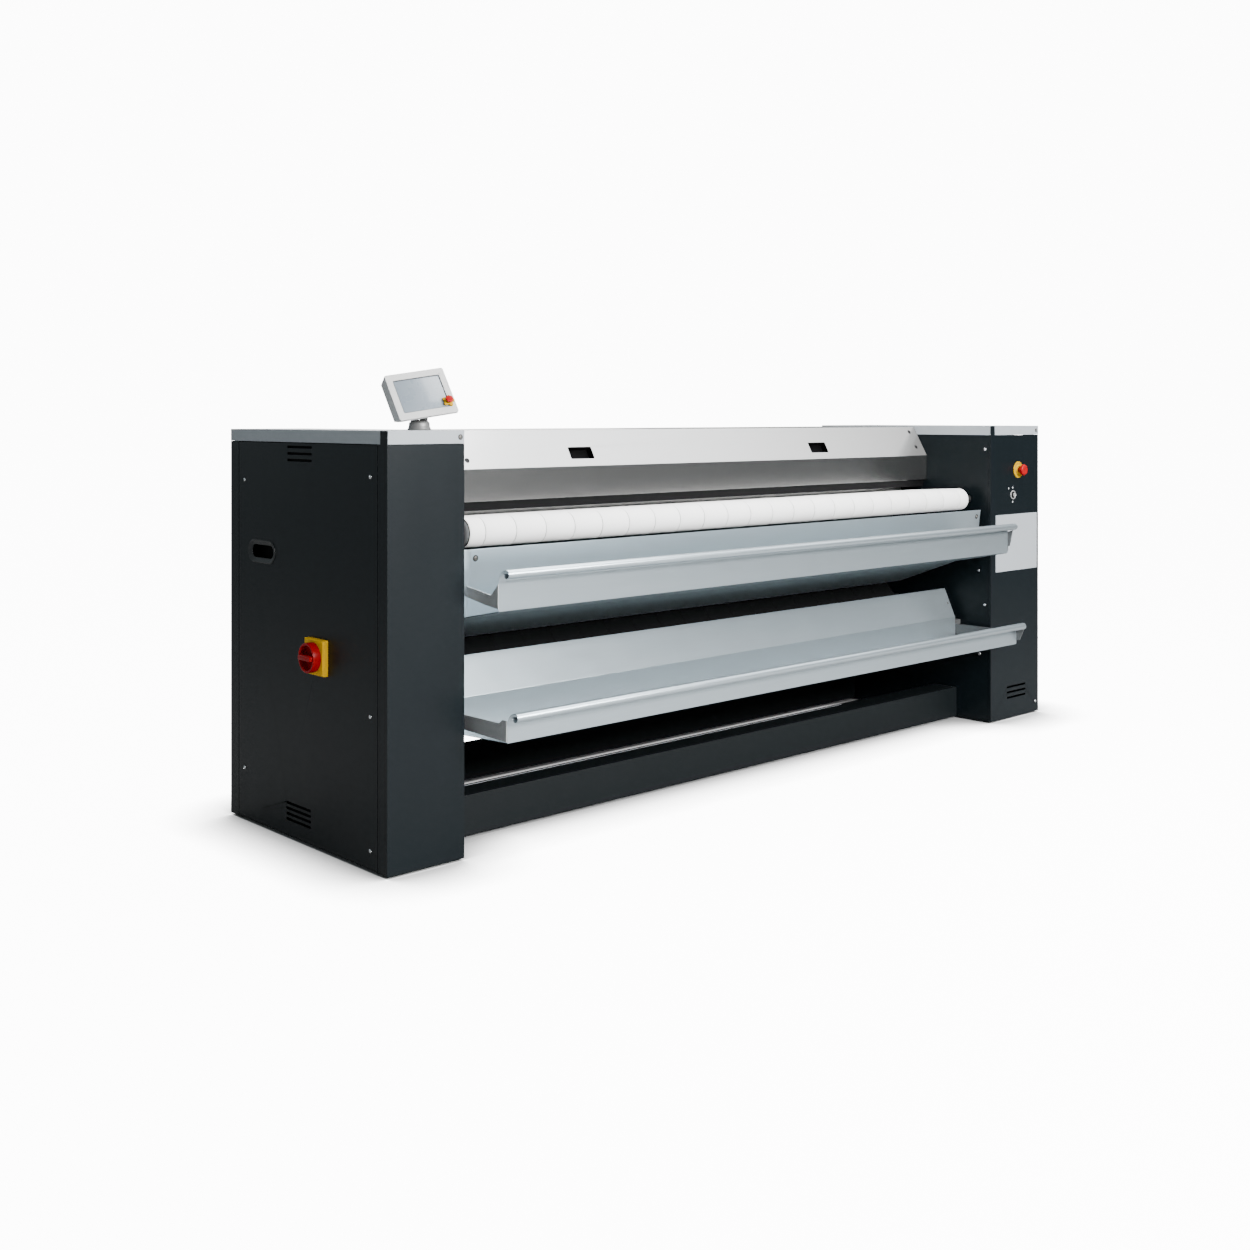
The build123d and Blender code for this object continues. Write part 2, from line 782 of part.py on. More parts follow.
with BuildPart() as exhaust_fan_housing:
    rod_y(fan_place, fan_radius, fan_front, depth - sheet)
    rod_y(fan_place, fan_radius - 2, fan_front + 2, depth - sheet - 2, Mode.SUBTRACT)
    rod_y(fan_place, 42, fan_front - 60, fan_front)
    neck = spigot_radius - 3
    rod_y(fan_place, neck, depth - sheet, depth + 3)
    rod_y(fan_place, spigot_radius, depth + 2, depth + rear_reach)
    rod_y(fan_place, neck - 2, depth - sheet - 3, depth + 5, Mode.SUBTRACT)
    rod_y(fan_place, spigot_radius - 2, depth + 4, depth + rear_reach + 1, Mode.SUBTRACT)
    rod_y(fan_place, fan_shaft + running, fan_front - 42, fan_front + 3, Mode.SUBTRACT)
    with Locations((left + fan_place[0], front + fan_front + 50, fan_place[1] + fan_radius - 3)):
        Box(40, 50, 20, mode=Mode.SUBTRACT)
save(exhaust_fan_housing, "exhaust_fan_housing")

with BuildPart() as fan_impeller:
    rod_y(fan_place, 72, fan_front + 8, fan_front + 11)
    rod_y(fan_place, 16, fan_front + 8, fan_front + 40)
    rod_y(fan_place, fan_shaft, fan_front - 40, fan_front + 8)
    with BuildSketch(face_plane(fan_front + 51)):
        with Locations(fan_place):
            with PolarLocations(58, 12):
                Rectangle(26, 2, rotation=35)
    extrude(amount=42)
save(fan_impeller, "fan_impeller")

with BuildPart() as electrical_plate:
    block((60, 400, foot_height + 6), (62, 690, 420))
    block((60, 400, foot_height + 6), (110, 690, foot_height + 8))
    for low_y, high_y, low_z, high_z in (
        (420, 500, 300, 400),
        (515, 560, 310, 400),
        (575, 620, 310, 400),
        (430, 660, 180, 260),
        (440, 560, 60, 140),
    ):
        block((24, low_y, low_z), (60, high_y, high_z))
save(electrical_plate, "electrical_plate")

with BuildPart() as cable_gland:
    rod_y(gland_place, gland_bore + 11, depth, depth + 10)
    rod_y(gland_place, gland_bore + 7, depth - 12, depth + 18)
    rod_y(gland_place, gland_bore + 11, depth - sheet - 8, depth - sheet)
    rod_y(gland_place, gland_bore, depth - 13, depth + 19, Mode.SUBTRACT)
save(cable_gland, "cable_gland")

# ---------------------------------------------------------------- trays
tube_path = tube_radius - sheet
curl_path = curl_radius - sheet


def tray(rear_points, lip, lip_foot, tube_top):
    """Folded tray whose front lip curls forward into a rolled tube."""
    curl_centre = (-lip - curl_path, tube_top - curl_radius)
    tube_centre = (-lip - curl_path, tube_top - tube_radius)
    with BuildSketch(side_plane(tray_left)) as outline:
        with BuildLine():
            Polyline(*rear_points, (-lip, lip_foot), (-lip, curl_centre[1]))
            CenterArc(curl_centre, curl_path, 0, 90)
            CenterArc(tube_centre, tube_path, 90, 275)
            offset(amount=sheet, side=Side.RIGHT)
        make_face()
    extrude(outline.sketch, amount=tray_right - tray_left)


with BuildPart() as upper_tray:
    tray([upper_rear_top, upper_rear_foot], upper_lip, upper_lip_foot, upper_tube_top)
save(upper_tray, "upper_tray")

with BuildPart() as lower_tray:
    lower_rear = [(170, lower_foot + 181), (126, lower_foot + 81), (126, lower_foot)]
    tray(lower_rear, lower_lip, lower_foot + 13, lower_tube_top)
save(lower_tray, "lower_tray")

floor_fall = (upper_lip_foot - upper_rear_foot[1]) / (upper_lip + upper_rear_foot[0])
rear_lean = (upper_rear_foot[0] - upper_rear_top[0]) / (upper_rear_top[1] - upper_rear_foot[1])

with BuildPart() as tray_underside:
    underside = [
        (-88, upper_lip_foot - 4 * floor_fall),
        (123, upper_lip_foot - (upper_lip + 123) * floor_fall),
        (367, height - 577),
    ]
    folded(underside, Side.RIGHT, tray_left, tray_right)
save(tray_underside, "tray_underside")

strap = 3
upper_strap = [(41, 81), (-63, 66), (-92, 96), (-92, 34), (-39, 40), (39.5, 53)]
upper_gusset = [(-91, 100), (-112, 108), (-99, 52), (-91, 50)]
lower_strap = [(126, 57), (-94, 58), (-109, 68), (-125, 68), (-125, 16), (126, 21)]
lower_gusset = [(-125, 74), (-158, 72), (-139, 28), (-125, 26)]


def raised(points, foot):
    """Outline whose heights are measured from a tray's floor."""
    return [(y, foot + z) for y, z in points]


with BuildPart() as tray_brackets:
    for low in (tray_left - strap, tray_right):
        slab(raised(upper_strap, upper_rear_foot[1]), low, low + strap)
        slab(raised(lower_strap, lower_foot), low, low + strap)
    slab(raised(upper_gusset, upper_rear_foot[1]), tray_right, tray_right + strap)
    slab(raised(lower_gusset, lower_foot), tray_right, tray_right + strap)
    lug_top = (upper_rear_foot[0] - 70 * rear_lean, upper_rear_foot[1] + 70)
    for low, high in ((inner_left, tray_left + 60), (tray_right - 60, inner_right)):
        slab([upper_rear_foot, lug_top, (60, lug_top[1]), (60, upper_rear_foot[1])], low, high)
        slab(raised([(126, 10), (126, 70), (150, 70), (150, 10)], lower_foot), low, high)
save(tray_brackets, "tray_brackets")

# ---------------------------------------------------------------- side isolator
with BuildPart() as isolator_plate:
    low = (-isolator_plate_depth, isolator_place[0] - 45, isolator_place[1] - 45)
    block(low, (0, isolator_place[0] + 45, isolator_place[1] + 45))
    chamfer(isolator_plate.faces().sort_by(Axis.X)[0].edges(), 3)
    bore = isolator_shaft + running
    rod_x(isolator_place, bore, -isolator_plate_depth - 1, 1, Mode.SUBTRACT)
save(isolator_plate, "isolator_plate")

with BuildPart() as isolator_knob:
    rod_x(isolator_place, 38, -27, -isolator_plate_depth - clear)
    low = (-isolator_reach, isolator_place[0] - 34, isolator_place[1] - 10)
    block(low, (-26, isolator_place[0] + 34, isolator_place[1] + 10))
    fillet(isolator_knob.faces().sort_by(Axis.X)[0].edges(), 4)
    rod_x(isolator_place, isolator_shaft, -20, 40)
save(isolator_knob, "isolator_knob")

with BuildPart() as isolator_switch:
    low = (sheet, isolator_place[0] - 35, isolator_place[1] - 35)
    block(low, (60, isolator_place[0] + 35, isolator_place[1] + 35))
    rod_x(isolator_place, isolator_shaft + running, 0, 42, Mode.SUBTRACT)
save(isolator_switch, "isolator_switch")

# ---------------------------------------------------------------- front controls
with BuildPart() as right_estop_ring:
    rod_y(estop_place, 30, -2, 0)
    rod_y(estop_place, 12, -10, sheet)
    low = (estop_place[0] - 22, sheet, estop_place[1] - 22)
    block(low, (estop_place[0] + 22, 45, estop_place[1] + 22))
    rod_y(estop_place, estop_stem + running, -11, 40, Mode.SUBTRACT)
save(right_estop_ring, "right_estop_ring")

with BuildPart() as right_estop_head:
    rod_y(estop_place, 20, -30, -16)
    fillet(right_estop_head.edges().sort_by(Axis.Y)[0], 5)
    rod_y(estop_place, estop_stem, -16, 34)
save(right_estop_head, "right_estop_head")

with BuildPart() as key_switch_bezel:
    rod_y(key_place, 14, -5, 0)
    rod_y(key_place, 11, 0, 40)
    rod_y(key_place, key_radius + running, -6, 36, Mode.SUBTRACT)
save(key_switch_bezel, "key_switch_bezel")

with BuildPart() as key_barrel:
    rod_y(key_place, key_radius, -7, 34)
    slot_low = (key_place[0] - 1, -8, key_place[1] - 5)
    block(slot_low, (key_place[0] + 1, -2, key_place[1] + 5), Mode.SUBTRACT)
save(key_barrel, "key_barrel")

# ---------------------------------------------------------------- control head
tilt = math.radians(head_tilt)
turn = math.radians(head_turn)
head_up = (0, math.sin(tilt), math.cos(tilt))
head_across = (
    math.cos(turn),
    math.sin(turn) * math.cos(tilt),
    -math.sin(turn) * math.sin(tilt),
)
head_out = (
    math.sin(turn),
    -math.cos(turn) * math.cos(tilt),
    math.cos(turn) * math.sin(tilt),
)
pivot_point = (left + pivot_place[0], front + pivot_place[1], pivot_place[2])
face_point = (left + head_front[0], front + head_front[1], head_front[2])
spindle_plane = Plane(origin=pivot_point, x_dir=(1, 0, 0), z_dir=head_up)
face = Plane(origin=face_point, x_dir=head_across, z_dir=head_out)
pivot_local = face.to_local_coords(Vector(*pivot_point))
ear_gap = clear
barrel_half = 9
ear_width = 8.7

with BuildPart() as head_pedestal:
    with Locations((pivot_point[0], pivot_point[1], height)):
        Cone(29.8, 22, 20, align=(Align.CENTER, Align.CENTER, Align.MIN))
    for low in (-barrel_half - ear_gap - ear_width, barrel_half + ear_gap):
        ear_low = pivot_place[0] + low
        ear_high = ear_low + ear_width
        block((ear_low, 74, height + 15), (ear_high, 96, pivot_place[2]))
        rod_x(pivot_place[1:], 11, ear_low, ear_high)
        hole = pin_radius + running
        rod_x(pivot_place[1:], hole, ear_low - 1, ear_high + 1, Mode.SUBTRACT)
save(head_pedestal, "head_pedestal")

with BuildPart() as head_knuckle:
    barrel_low = pivot_place[0] - barrel_half
    barrel_high = pivot_place[0] + barrel_half
    rod_x(pivot_place[1:], 11, barrel_low, barrel_high)
    pin_low = barrel_low - ear_gap - ear_width
    pin_high = barrel_high + ear_gap + ear_width
    rod_x(pivot_place[1:], pin_radius, pin_low, pin_high)
    with BuildSketch(spindle_plane):
        Circle(spindle_radius)
    extrude(amount=50)
save(head_knuckle, "head_knuckle")

stop_place = (60, -33)
stop_ring = 16
screen_centre = (0, -0.5)
screen_size = (122, 94)
screen_depth = 2

with BuildPart() as head_shell:
    with BuildSketch(face):
        RectangleRounded(head_size[0], head_size[1], 6)
    extrude(amount=-head_size[2])
    fillet(head_shell.faces().sort_by(Axis(face_point, head_out))[-1].edges(), 2)
    profile = Plane(origin=face_point, x_dir=face.y_dir, z_dir=face.x_dir)
    head_foot = -head_size[1] / 2
    with BuildSketch(profile):
        Polygon(
            (head_foot - 1, -8),
            (head_foot, -8),
            (head_foot + 20, -head_size[2]),
            (head_foot + 20, -head_size[2] - 1),
            (head_foot - 1, -head_size[2] - 1),
            align=None,
        )
    extrude(amount=head_size[0] / 2 + 1, both=True, mode=Mode.SUBTRACT)
    notch_top = pivot_local.Y + 17.2
    notch_bottom = head_foot - 1
    with BuildSketch(face.offset(pivot_local.Z + 26)):
        with Locations((pivot_local.X, (notch_top + notch_bottom) / 2)):
            Rectangle(50, notch_top - notch_bottom)
    extrude(amount=-40, mode=Mode.SUBTRACT)
    with BuildSketch(spindle_plane.offset(18)):
        Circle(10.5)
    extrude(amount=36)
    sleeve_back = face.offset(pivot_local.Z)
    with BuildSketch(sleeve_back):
        with Locations((pivot_local.X, pivot_local.Y + 36)):
            Rectangle(12, 36)
    extrude(amount=-pivot_local.Z - head_size[2] + 1)
    with BuildSketch(spindle_plane.offset(17)):
        Circle(spindle_radius + running)
    extrude(amount=34, mode=Mode.SUBTRACT)
    with BuildSketch(face.offset(1)):
        with Locations(screen_centre):
            RectangleRounded(screen_size[0] + 2 * clear, screen_size[1] + 2 * clear, 3)
    extrude(amount=-screen_depth - 2, mode=Mode.SUBTRACT)
    with BuildSketch(face.offset(1)):
        with Locations(stop_place):
            Circle(9 + clear)
    extrude(amount=-26, mode=Mode.SUBTRACT)
save(head_shell, "head_shell")

with BuildPart() as head_screen:
    with BuildSketch(face.offset(-0.5)):
        with Locations(screen_centre):
            RectangleRounded(screen_size[0], screen_size[1], 3)
        with Locations(stop_place):
            Circle(9 + clear, mode=Mode.SUBTRACT)
    extrude(amount=0.5 - screen_depth - 1)
save(head_screen, "head_screen")

with BuildPart() as head_estop_ring:
    with BuildSketch(face):
        with Locations(stop_place):
            Circle(stop_ring)
    extrude(amount=2)
    with BuildSketch(face.offset(-24)):
        with Locations(stop_place):
            Circle(9)
    extrude(amount=29)
    with BuildSketch(face.offset(-22)):
        with Locations(stop_place):
            Circle(5 + running)
    extrude(amount=30, mode=Mode.SUBTRACT)
save(head_estop_ring, "head_estop_ring")

with BuildPart() as head_estop_head:
    with BuildSketch(face.offset(10)):
        with Locations(stop_place):
            Circle(11)
    extrude(amount=7)
    fillet(head_estop_head.faces().sort_by(Axis(face_point, head_out))[-1].edges(), 2)
    with BuildSketch(face.offset(-17)):
        with Locations(stop_place):
            Circle(5)
    extrude(amount=27)
save(head_estop_head, "head_estop_head")

# ---------------------------------------------------------------- screws
screw_height = 2

with BuildPart() as cover_screws:
    for place in flush_screws_right + [(73, 53)]:
        rod_x(place, screw_radius, -screw_height, 0)
    for place in flush_screws_right:
        rod_x(place, screw_radius, overall_width - sheet, overall_width)
    for place in [(23, height - 83), (50, height - 518), (24, height - 639), (47, 244)]:
        rod_x(place, screw_radius, inner_right - screw_height, inner_right)
        rod_x(place, screw_radius, inner_left, inner_left + screw_height)
    cap_line = height - 17
    for place in [(left_width - 12, cap_line), (overall_width - 16, cap_line), (overall_width - 21, 42)]:
        rod_y(place, screw_radius, -screw_height, 0)
save(cover_screws, "cover_screws")
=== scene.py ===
"""Looks of a flatwork ironer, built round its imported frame."""

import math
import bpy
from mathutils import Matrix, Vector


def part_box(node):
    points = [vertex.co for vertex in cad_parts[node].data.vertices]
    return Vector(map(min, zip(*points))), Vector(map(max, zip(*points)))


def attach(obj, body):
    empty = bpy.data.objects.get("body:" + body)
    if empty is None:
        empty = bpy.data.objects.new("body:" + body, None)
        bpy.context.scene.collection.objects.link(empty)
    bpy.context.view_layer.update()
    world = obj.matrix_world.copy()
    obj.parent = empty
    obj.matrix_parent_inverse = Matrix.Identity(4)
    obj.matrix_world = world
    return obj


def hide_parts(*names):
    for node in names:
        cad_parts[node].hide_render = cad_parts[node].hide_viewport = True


bl_info = {
    "name": "Flatwork ironer",
    "version": (1, 0, 0),
    "blender": (4, 5, 0),
    "location": "3D View > Sidebar > Ironer",
    "description": "Dresses the packed flatwork ironer with finishes, bands, controls and a studio",
    "category": "Object",
}

import bmesh
import bpy
from mathutils import Matrix, Vector

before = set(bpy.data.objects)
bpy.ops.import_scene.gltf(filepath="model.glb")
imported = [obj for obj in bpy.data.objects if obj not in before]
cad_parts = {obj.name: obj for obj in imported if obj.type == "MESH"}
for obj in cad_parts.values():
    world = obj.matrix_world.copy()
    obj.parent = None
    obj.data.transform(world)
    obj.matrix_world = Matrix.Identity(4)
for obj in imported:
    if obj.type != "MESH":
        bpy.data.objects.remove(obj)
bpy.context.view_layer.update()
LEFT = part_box("left_cap")[0][0]
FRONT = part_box("left_cap")[0][1]
MM = 0.001
FINISHES = {}
SHARP_ANGLE = math.radians(40)

# Where things are, in millimetres from the casing's left face, its front face and the floor.
CASING_WIDTH = 2855
CASING_DEPTH = 770
INNER_FACES = (225, 2540)
ROLLER_ENDS = (282.5, 2482.5)
FEED_AXIS = (92, 798)
REAR_FEED_AXIS = (312, 798)
HOOD_FOOT = (270, 950)
HOOD_RISE = (0.4899, 0.8718)
HEAD_PLACE = (144.5, 67, 1150.4)
SLEEVE_PLACE = (150, 85, 1060)
ISOLATOR_PLACE = (-15.3, 309, 490)
RIGHT_STOP_PLACE = (2718, 0, 900)
KEY_PLACE = (2684, 0, 810)
GLAND_PLACE = (120, CASING_DEPTH, 150)
GRIP_PLACE = (0, 597, 734.5)
STRIP_PLACE = (1106, 224, 112.9)
TRAY_PANEL_MIDDLE = (34.2, 675.9)
FOOT_COLUMNS = (45, 185, 2590, 2805)
FOOT_ROWS = (60, 700)

# Directions that parts face or run along.
LEFTWARD = (-1, 0, 0)
RIGHTWARD = (1, 0, 0)
FORWARD = (0, -1, 0)
BACKWARD = (0, 1, 0)
UPWARD = (0, 0, 1)
TRAY_PANEL_OUT = (0, -172, -22)
HEAD_TILT = math.radians(33)
HEAD_TURN = math.radians(-16)

# Masks of the finishes and of their painted shade, in metres, and depths of fine relief.
HOOD_FOLD_HEIGHT = 0.951
HOOD_SHADE_SHIFT, HOOD_SHADE_SPAN = 1.17, 2.3
PANEL_SHADE_SHIFT, PANEL_SHADE_SPAN = 0.42, 0.4
PEEL_DEPTH = 0.00006
BRUSH_DEPTH = 0.00002
HOOD_BRUSH_DEPTH = 0.00001
PEBBLE_DEPTH = 0.00004
CAST_DEPTH = 0.00008
WEAVE_DEPTH = 0.0002

# The studio, fitted to the photograph: places in millimetres, sizes in metres, power in watts.
CAMERA_PLACE = (-1893, -2865, 1093)
CAMERA_YAW = -42.85
CAMERA_LENS = 41.39
CAMERA_SHIFT = -0.1666
STUDIO_MIDDLE = (1400, 300, 700)
BACKDROP_GLOW = 12.0
CONTACT_SHADOW = 0.22
SKY_AIM = (0.6, -0.3, 0.742)
SKY_STEPS = (
    (0, 0.6),
    (0.12, 0.13),
    (0.62, 0.09),
    (0.74, 0.1),
    (0.86, 0.4),
    (0.94, 0.75),
    (1, 2.4),
)
SOFT_BOXES = (
    ("key_box", (4600, -700, 3300), (3.2, 2.2), 50),
    ("front_box", (1000, -4500, 2600), (3.5, 1.6), 850),
    ("top_box", (1700, 300, 3700), (5.0, 1.8), 300),
    ("back_box", (2600, 3200, 2400), (2.0, 2.0), 50),
)


def spot(x, y, z):
    """A place in millimetres from the casing's left face, its front face and the floor."""
    return Vector((LEFT + x * MM, FRONT + y * MM, z * MM))


# ------------------------------------------------------------------ shader maths


class Amount:
    """A number socket that can be used in an expression."""

    def __init__(self, finish, socket):
        self.finish = finish
        self.socket = socket

    def _math(self, operation, first, second=None):
        values = [first] if second is None else [first, second]
        inputs = {i: v.socket if isinstance(v, Amount) else v for i, v in enumerate(values)}
        return self.finish.number("ShaderNodeMath", {"operation": operation}, inputs)

    def __add__(self, other):
        return self._math("ADD", self, other)

    def __radd__(self, other):
        return self._math("ADD", other, self)

    def __sub__(self, other):
        return self._math("SUBTRACT", self, other)

    def __rsub__(self, other):
        return self._math("SUBTRACT", other, self)

    def __mul__(self, other):
        return self._math("MULTIPLY", self, other)

    def __truediv__(self, other):
        return self._math("DIVIDE", self, other)

    def __pow__(self, other):
        return self._math("POWER", self, other)

    def above(self, limit):
        return self._math("GREATER_THAN", self, limit)

    def wave(self):
        return self._math("SINE", self)


class Nodes:
    """A node tree that is built through one method."""

    def __init__(self, tree):
        self.tree = tree

    def output(self, kind, settings, inputs, name=0):
        """Add a node with its settings and sockets, and give one output."""
        node = self.tree.nodes.new(kind)
        for key, value in settings.items():
            if key == "stops":
                ramp = node.color_ramp
                for _ in value[2:]:
                    ramp.elements.new(0.5)
                for element, (where, colour) in zip(ramp.elements, value):
                    element.position = where
                    element.color = colour
            else:
                setattr(node, key, value)
        for key, value in inputs.items():
            value = value.socket if isinstance(value, Amount) else value
            if isinstance(value, bpy.types.NodeSocket):
                self.tree.links.new(value, node.inputs[key])
            else:
                node.inputs[key].default_value = value
        return node.outputs[name]

    def number(self, kind, settings, inputs, name=0):
        return Amount(self, self.output(kind, settings, inputs, name))

    def mixed(self, mask, low, high):
        inputs = {0: mask, 6: low, 7: high}
        return self.output("ShaderNodeMix", {"data_type": "RGBA"}, inputs, 2)


class Finish(Nodes):
    """A procedural surface on the piece's own coordinates, in metres."""

    def __init__(self, name, **shader):
        self.material = bpy.data.materials.new(name)
        self.material.use_nodes = True
        FINISHES[name] = self.material
        super().__init__(self.material.node_tree)
        self.shader = self.tree.nodes["Principled BSDF"]
        for socket, value in shader.items():
            self.shader.inputs[socket.replace("_", " ")].default_value = value
        self.place = self.output("ShaderNodeTexCoord", {}, {}, "Object")

    def axis(self, name):
        """One coordinate of the piece, in metres."""
        return self.number("ShaderNodeSeparateXYZ", {}, {0: self.place}, name)

    def noise(self, scale, detail, stretch=(1, 1, 1)):
        """Noise from 0 to 1 with its grain per metre, stretched along the axes."""
        where = self.output("ShaderNodeMapping", {}, {"Vector": self.place, "Scale": stretch})
        inputs = {"Vector": where, "Scale": scale, "Detail": detail}
        return self.number("ShaderNodeTexNoise", {"noise_dimensions": "3D"}, inputs, "Fac")

    def blend(self, mask, low, high):
        """A colour that goes from low to high by a mask."""
        colours = [c if isinstance(c, bpy.types.NodeSocket) else (*c[:3], 1) for c in (low, high)]
        return self.mixed(mask, *colours)

    def colour(self, socket):
        self.tree.links.new(socket, self.shader.inputs["Base Color"])

    def rough(self, amount):
        self.tree.links.new(amount.socket, self.shader.inputs["Roughness"])

    def metal(self, amount):
        self.tree.links.new(amount.socket, self.shader.inputs["Metallic"])

    def glow(self, socket, strength):
        self.tree.links.new(socket, self.shader.inputs["Emission Color"])
        self.shader.inputs["Emission Strength"].default_value = strength

    def relief(self, height, depth, strength):
        """Raise the surface by a height mask of that depth in metres."""
        inputs = {"Height": height, "Distance": depth, "Strength": strength}
        normal = self.output("ShaderNodeBump", {}, inputs)
        self.tree.links.new(normal, self.shader.inputs["Normal"])


def shade(colour, amount):
    return tuple(min(1.0, c * amount) for c in colour[:3])


def powder_coat(name, colour, rough):
    """Baked powder paint: fine orange peel, faint cloudiness and a few dull wipes."""
    finish = Finish(name, Metallic=0.0, Specular_IOR_Level=0.2)
    cloud = finish.noise(3.5, 4)
    wipe = finish.noise(9.0, 5, (1, 1, 0.25))
    grain = finish.noise(1400, 1)
    finish.colour(finish.blend(cloud * 0.7 + grain * 0.3, shade(colour, 0.9), shade(colour, 1.12)))
    finish.rough(rough - 0.05 + wipe * 0.1 + grain * 0.03)
    peel = finish.noise(650, 3)
    finish.relief(peel, PEEL_DEPTH, 0.5)
    return finish.material


def brushed(name, colour, along=(0.012, 1, 1), rough=0.3, metallic=1.0, grain=1500):
    """Brushed or turned metal with its lines along one direction."""
    finish = Finish(name, Metallic=metallic)
    lines = finish.noise(grain, 3, along)
    broad = finish.noise(4.0, 4, (0.4, 1, 1))
    smear = finish.noise(14.0, 4)
    tone = lines * 0.55 + broad * 0.45
    finish.colour(finish.blend(tone, shade(colour, 0.9), shade(colour, 1.08)))
    finish.rough(rough - 0.06 + lines * 0.1 + smear * 0.06)
    finish.relief(lines, BRUSH_DEPTH, 0.6)
    return finish.material


def hood_steel(name, colour):
    """Brushed sheet, satin on the slope, with painted shade: the low face under it is painted
    darker, and the colour changes along the hood.
    """
    finish = Finish(name)
    lines = finish.noise(1500, 3, (0.012, 1, 1))
    broad = finish.noise(3.0, 3, (0.3, 1, 1))
    slope = finish.axis("Z").above(HOOD_FOLD_HEIGHT)
    tone = lines * 0.6 + broad * 0.4
    high = finish.blend(tone, shade(colour, 0.92), shade(colour, 1.06))
    # Painted shade: the slope's colour darkens along the hood, and the low face is painted darker
    # than the slope, in two tones along it.
    shade_along_hood = (finish.axis("X") + HOOD_SHADE_SHIFT) / HOOD_SHADE_SPAN
    slope_shade_far = finish.blend(tone, shade(colour, 0.3), shade(colour, 0.36))
    low = finish.blend(tone, shade(colour, 0.36), shade(colour, 0.46))
    low_face_shade_far = finish.blend(tone, shade(colour, 0.6), shade(colour, 0.74))
    low_face_painted_shade = finish.mixed(shade_along_hood, low, low_face_shade_far)
    finish.colour(finish.mixed(slope, low_face_painted_shade, finish.mixed(shade_along_hood, high, slope_shade_far)))
    finish.metal(1.0 - slope * 0.4)
    finish.rough(0.2 + lines * 0.08)
    finish.relief(lines, HOOD_BRUSH_DEPTH, 0.5)
    return finish.material


def end_steel(name, colour):
    """Satin strip of the tray ends, darker at the right where it is in shade."""
    finish = Finish(name, Metallic=0.55)
    lines = finish.noise(1200, 3, (1, 0.02, 0.02))
    smear = finish.noise(14, 3)
    right = finish.axis("X").above(0.0)
    tone = lines * 0.6 + smear * 0.4
    left_tone = finish.blend(tone, shade(colour, 0.9), shade(colour, 1.08))
    right_tone = finish.blend(tone, shade(colour, 0.2), shade(colour, 0.28))
    finish.colour(finish.mixed(right, left_tone, right_tone))
    finish.rough(0.4 + smear * 0.08)
    return finish.material


def shaded_panel(name, colour):
    """Dull painted sheet with painted shade: its colour darkens towards its front edge."""
    finish = Finish(name, Metallic=0.0, Specular_IOR_Level=0.12)
    lines = finish.noise(900, 3, (0.012, 1, 1))
    cloud = finish.noise(4.0, 3)
    # Painted shade: the colour goes darker towards the sheet's front edge.
    back = (finish.axis("Y") + PANEL_SHADE_SHIFT) / PANEL_SHADE_SPAN
    tone = back * 0.7 + lines * 0.15 + cloud * 0.15
    finish.colour(finish.blend(tone, shade(colour, 0.5), shade(colour, 1.1)))
    finish.rough(0.62 + cloud * 0.1)
    return finish.material


def moulded(name, colour, rough=0.45, grain=900, shine=0.4):
    """Moulded plastic with a fine spark-eroded texture."""
    finish = Finish(name, Metallic=0.0, Specular_IOR_Level=shine)
    cloud = finish.noise(20, 3)
    pebble = finish.noise(grain, 2)
    finish.colour(finish.blend(cloud, shade(colour, 0.93), shade(colour, 1.07)))
    finish.rough(rough - 0.04 + cloud * 0.05 + pebble * 0.05)
    finish.relief(pebble, PEBBLE_DEPTH, 0.5)
    return finish.material


def cast_metal(name, colour, rough):
    """Cast or galvanised metal with a mottled skin."""
    finish = Finish(name, Metallic=0.8)
    cells = finish.number("ShaderNodeTexVoronoi", {}, {"Vector": finish.place, "Scale": 130}, 0)
    grain = finish.noise(700, 3)
    finish.colour(finish.blend(cells * 0.8 + grain * 0.3, shade(colour, 0.82), shade(colour, 1.15)))
    finish.rough(rough - 0.1 + cells * 0.15 + grain * 0.05)
    finish.relief(grain, CAST_DEPTH, 0.5)
    return finish.material


def woven(name, colour, thread=0.0011, sheen=0.25):
    """Plain woven webbing with a slight sheen and faint handling marks."""
    shader = {"Sheen_Weight": sheen, "Sheen_Roughness": 0.5, "Specular_IOR_Level": 0.2}
    finish = Finish(name, Metallic=0.0, **shader)
    pitch = 2 * math.pi / thread
    across = (finish.axis("X") * pitch).wave()
    around = ((finish.axis("Y") + finish.axis("Z") * 0.7) * pitch).wave()
    weave = across * around * 0.5 + 0.5
    marks = finish.noise(6, 5)
    fuzz = finish.noise(900, 2)
    warm = (colour[0], colour[1] * (1 - 0.03), colour[2] * (1 - 0.06))
    tone = finish.blend(marks, colour, shade(warm, 0.95))
    finish.colour(finish.blend(weave * 0.12 + fuzz * 0.1, tone, shade(colour, 0.82)))
    finish.rough(0.8 + fuzz * 0.12)
    finish.relief(weave * 0.7 + fuzz * 0.3, WEAVE_DEPTH, 0.35)
    return finish.material


def display(name, colour):
    """Unlit display behind glass, with faint finger smears."""
    finish = Finish(name, Metallic=0.0, Coat_Roughness=0.08, Coat_Weight=0.4)
    smear = finish.noise(45, 5, (1, 1, 0.4))
    depth = finish.noise(5, 1)
    finish.colour(finish.blend(depth * 0.6 + smear * 0.3, shade(colour, 0.93), shade(colour, 1.06)))
    finish.rough(0.2 + smear * 0.16)
    return finish.material


# ------------------------------------------------------------------ settings


def colour_setting(name, words, default):
    return bpy.props.FloatVectorProperty(
        name=name, description=words, default=default, subtype="COLOR", size=3, min=0, max=1
    )


def length_setting(name, words, default):
    return bpy.props.FloatProperty(
        name=name, description=words, default=default, unit="LENGTH", min=0
    )


